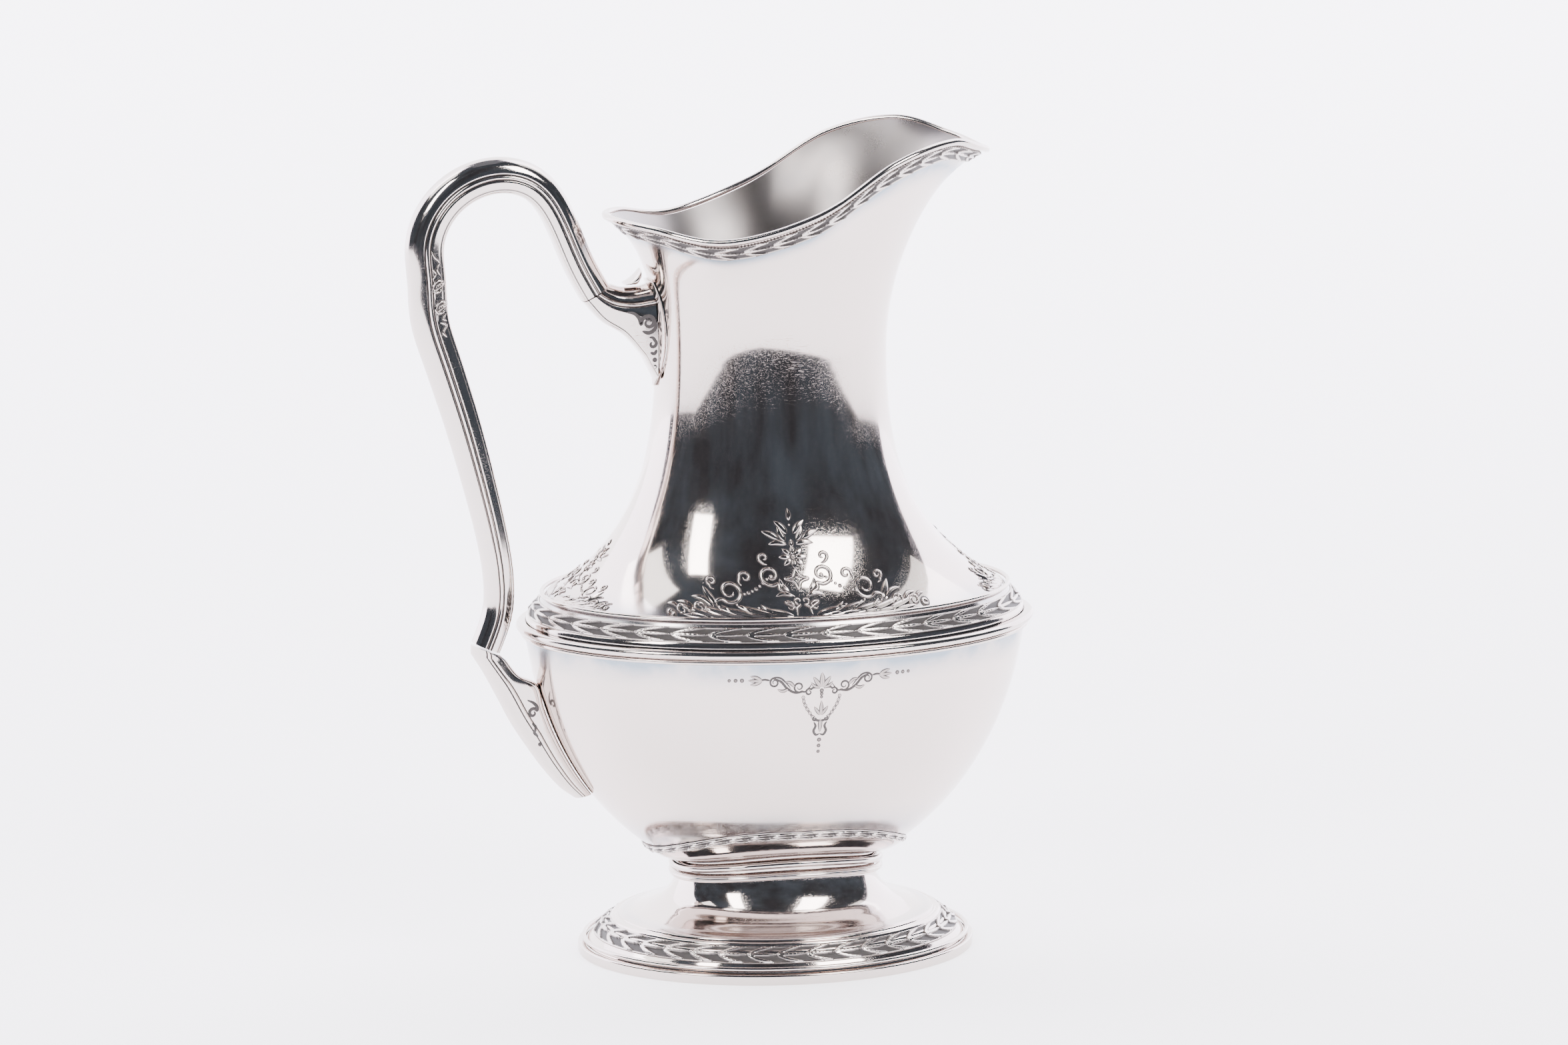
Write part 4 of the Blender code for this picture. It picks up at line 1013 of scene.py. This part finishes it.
def flat_place(origin, right, up, piece, side):
    """place(u, v) where a view along Y meets a piece, from the front at side -1 or the back at side 1."""
    tree = ray_tree(piece)
    origin, right, up = (np.array((p[0], 0.0, p[1])) for p in (origin, right, up))

    def place(u, v):
        u, v = np.broadcast_arrays(u, v)
        points = origin + (u[..., None] * right + v[..., None] * up) * MM
        hits, normals = np.zeros(points.shape), np.zeros(points.shape)
        for index in np.ndindex(u.shape):
            x, _, z = points[index]
            found, normal, _, _ = tree.ray_cast(Vector((x + AXIS_X, side, z)), Vector((0.0, -side, 0.0)))
            if found is None:
                found, normal = Vector((x + AXIS_X, 0.0, z)), Vector((0.0, side, 0.0))
            hits[index] = found.x - AXIS_X, found.y, found.z
            normals[index] = normal
        return hits, normals
    return place


def wall_finder(piece):
    """Function that gives the X of a wall, seen from the handle's side."""
    tree = ray_tree(piece)

    def find(y, z):
        hit = tree.ray_cast(Vector((-2 * HANDLE_REACH + AXIS_X, y, z)), Vector((1.0, 0.0, 0.0)))[0]
        return hit.x - AXIS_X
    return find


def section(upper, lower, half_width):
    """The handle's section between two points of the mirror plane. Only its flat side is stretched."""
    n, w = np.array(FULL_SECTION).T
    part = min(HANDLE_DEPTH[-1][1] / np.hypot(upper[0] - lower[0], upper[1] - lower[1]), 1.0)
    share = np.interp((1 - n) / 2, (0.0, *PANEL_SHARES, 1.0),
                      (0.0, PANEL_SHARES[0] * part, 1 - (1 - PANEL_SHARES[1]) * part, 1.0))
    n = 1 - 2 * share
    x = (upper[0] + lower[0]) / 2 + (upper[0] - lower[0]) / 2 * n
    z = (upper[1] + lower[1]) / 2 + (upper[1] - lower[1]) / 2 * n
    return np.stack((x, half_width * w, z), axis=1)


def make_upper_joint():
    wall = wall_finder("neck_silver")
    outline = through(PLATE_OUTLINE, 44)
    loops = []
    for z, half in outline:
        places = np.linspace(-half, half, 15)
        back = [(wall(y, z) - GAP / 3, y, z) for y in places]
        edge = np.clip(np.sqrt(np.clip(1 - (places / (half + 1e-6)) ** 8, 0, 1)), 0.25, 1)
        face = [(x - PLATE_THICKNESS * e - GAP / 3, y, z) for (x, y, _), e in zip(back, edge)]
        loops.append(back + face[::-1])
    closed_loft("upper_plate_silver", loops, "upper_handle_plate")
    rows = through([(*upper, *lower) for upper, lower in UPPER_ROOT], 26)
    loops = [section(row[:2], row[2:], ROOT_HALF_WIDTH) for row in rows]
    high, low = UPPER_ROOT_WALL
    middle_z = (high + low) / 2
    for shrink in np.linspace(1, 0.1, 6):
        ring = []
        for _, y, z in section((0.0, high), (0.0, low), ROOT_HALF_WIDTH):
            y, z = y * shrink, middle_z + (z - middle_z) * shrink
            ring.append((wall(y, z) - PLATE_THICKNESS - GAP, y, z))
        loops.append(ring)
    closed_loft("upper_root_silver", loops, "upper_handle_root", FULL_DARK)
    turn = np.arange(24) * tau / 24
    loops = []
    for x, base, top, half in through(SPUR, 12):
        z = (top + base) / 2 + (top - base) / 2 * np.cos(turn)
        loops.append(np.stack((np.full(24, x), half * np.sin(turn), z), axis=1))
    closed_loft("thumb_spur_silver", loops, "handle_thumb_spur")


def make_lower_joint():
    wall = wall_finder("bowl_silver")
    stations = [(*outer, *inner) for outer, inner in LOWER_ROOT_FREE]
    stations += [(*outer, wall(0.0, z) - GAP / 2, z) for outer, z in LOWER_ROOT_ON_BOWL]
    rows = np.concatenate((through(stations[:2], 6)[:-1], through(stations[1:], 60)))
    loops = []
    for i, row in enumerate(rows):
        taper = i / (len(rows) - 1)
        half = LOWER_ROOT_HALF_WIDTH + (LOWER_TIP_HALF_WIDTH - LOWER_ROOT_HALF_WIDTH) * taper
        loop = section(row[:2], row[2:], half)
        if row[3] < LOWER_ROOT_ON_BOWL[0][1]:
            loop = [(min(x, wall(y, z) - GAP / 2), y, z) for x, y, z in loop]
        loops.append(loop)
    closed_loft("lower_root_silver", loops, "lower_handle_root", FULL_DARK)


def make_scrolls():
    """Cut scrolls on both sides of the handle and its roots."""
    route, out, _ = handle_frames()
    foot = int(SCROLL_FROM * HANDLE_COUNT)
    along = unit(route[foot + SCROLL_SPAN] - route[foot])
    halves = ("handle_right_half_silver", "handle_left_half_silver")
    start = route[foot] - out[foot] * SCROLL_INWARD
    level, upright = (1.0, 0.0), (0.0, 1.0)
    places = (("handle", start, along, out[foot], handle_scrolls, halves),
              ("upper_root", ROOT_MIDDLE, level, upright, root_scrolls, ("upper_root_silver",) * 2),
              ("lower_root", TONGUE_MIDDLE, level, upright, lower_scrolls, ("lower_root_silver",) * 2))
    for name, origin, right, up, draw, pieces in places:
        for side, end, piece in ((-1.0, "front", pieces[0]), (1.0, "back", pieces[1])):
            relief = Relief(flat_place(origin, right, up, piece, side))
            draw(relief)
            relief.show(name + "_scrolls_" + end, "handle_silver")


# ---------------------------------------------------------------- studio

PALE = (0.845, 0.825, 0.900)
PAPER = (0.90, 0.885, 0.925)
BRIGHT = 7.0                   # brightness of the pale surroundings
ROOM_RADIUS = 2.9
ROOM_SPREAD = (-112, 104)      # the unlit part of the room in front, in degrees from the front
ROOM_RISE = (-40, 80)          # from below the floor to overhead
PAPER_END, PAPER_REACH = -0.84, 5       # where the pale floor stops in front, and on the other sides
# Patches seen in reflections: spread, rise, how far beyond the room, colour, brightness, steps
PATCHES = (("ceiling", (-180, 180), (60, 90), 0.1, (0.05, 0.055, 0.06), 1.6, (48, 24)),
           ("side_right", (ROOM_SPREAD[1], 150), (-5, 70), 0.0, PALE, 4.2, (10, 10)),
           ("side_left", (-152, ROOM_SPREAD[0]), (-5, 70), 0.0, PALE, 4.2, (10, 10)),
           ("window_right", (22, 50), (33, 60), -0.2, (1.0, 0.99, 0.97), 13.0, (8, 8)),
           ("window_left", (-60, -44), (28, 58), -0.2, (1.0, 0.99, 0.97), 13.0, (8, 8)))
# Area lights: place, power, width
LIGHTS = (("key_light", (-1.4, 0.4, 2.2), 20, 1.2), ("fill_light", (1.4, 0.6, 2.0), 16, 1.4))
LIGHT_AIM = Vector((0, 0, 0.1))
LENS, CAMERA_PLACE = 153.42, (-0.49051, -1.9345, 0.51164)
CAMERA_DOWN, CAMERA_TURN = 0.187462, -0.257896


def paper(name, colour, strength):
    """Plain matt material that glows a little."""
    n = Nodes(name)
    return n.finish({"Base Color": (*colour, 1), "Roughness": 0.9, "Specular IOR Level": 0.1,
                     "Emission Color": (*colour, 1), "Emission Strength": strength})


def dark_room():
    """The unlit room: nearly black, a little lighter and bluer in soft patches."""
    n = Nodes("room_dark")
    soft = n.ramp(n.noise(1.1, 3.0), 0.35, 0.75)
    shade = n.mix(soft, (0.008, 0.011, 0.015, 1), (0.040, 0.060, 0.082, 1))
    return n.finish({"Base Color": (0, 0, 0, 1), "Roughness": 1.0, "Emission Color": shade,
                     "Emission Strength": 1.6})


def staged(name, points, faces, material, seen):
    """A stage piece. One that isn't seen still lights the object and shows in its reflections."""
    mesh = bpy.data.meshes.new(name)
    mesh.from_pydata(points, [], faces)
    mesh.materials.append(material)
    made = link(bpy.data.objects.new(name, mesh))
    made.visible_camera = seen


def dome(name, spread, rise, radius, material, steps):
    """Part of a sphere round the vessel, seen only in reflections."""
    turn, climb = np.meshgrid(np.radians(np.linspace(*spread, steps[0]) - 90),
                              np.radians(np.linspace(*rise, steps[1])))
    level = np.cos(climb)
    points = radius * np.stack((level * np.cos(turn), level * np.sin(turn), np.sin(climb)), axis=-1)
    faces = grid_faces(steps[1], steps[0], False, False)
    staged(name, points.reshape(-1, 3).tolist(), faces.tolist(), material, False)


def make_studio():
    world = bpy.data.worlds.new("studio")
    world.use_nodes = True
    background = world.node_tree.nodes["Background"].inputs
    background["Color"].default_value = (*PALE, 1)
    background["Strength"].default_value = BRIGHT
    bpy.context.scene.world = world
    r = PAPER_REACH
    staged("floor", [(-r, PAPER_END, 0), (r, PAPER_END, 0), (r, r, 0), (-r, r, 0)], [(0, 1, 2, 3)],
           paper("floor_paper", PAPER, 2.3), True)
    dome("room", ROOM_SPREAD, ROOM_RISE, ROOM_RADIUS, dark_room(), (48, 24))
    for name, spread, rise, beyond, colour, strength, steps in PATCHES:
        dome(name, spread, rise, ROOM_RADIUS + beyond, paper(name, colour, strength), steps)
    for name, place, power, size in LIGHTS:
        light = bpy.data.lights.new(name, "AREA")
        light.energy = power
        light.size = size
        made = link(bpy.data.objects.new(name, light))
        made.location = place
        made.rotation_euler = (LIGHT_AIM - Vector(place)).to_track_quat("-Z", "Y").to_euler()


def make_camera():
    camera = bpy.data.cameras.new("camera")
    camera.lens = LENS
    camera.clip_end = 50
    made = link(bpy.data.objects.new("camera", camera))
    made.location = CAMERA_PLACE
    made.rotation_euler = (pi / 2 - CAMERA_DOWN, 0, CAMERA_TURN)
    bpy.context.scene.camera = made


# ---------------------------------------------------------------- everything

make_camera()
make_studio()
make_bowl()
make_neck()
make_mouth()
make_shoulder()
make_foot()
make_ornament()
make_handle()
make_upper_joint()
make_lower_joint()
make_scrolls()

bpy.context.view_layer.update()
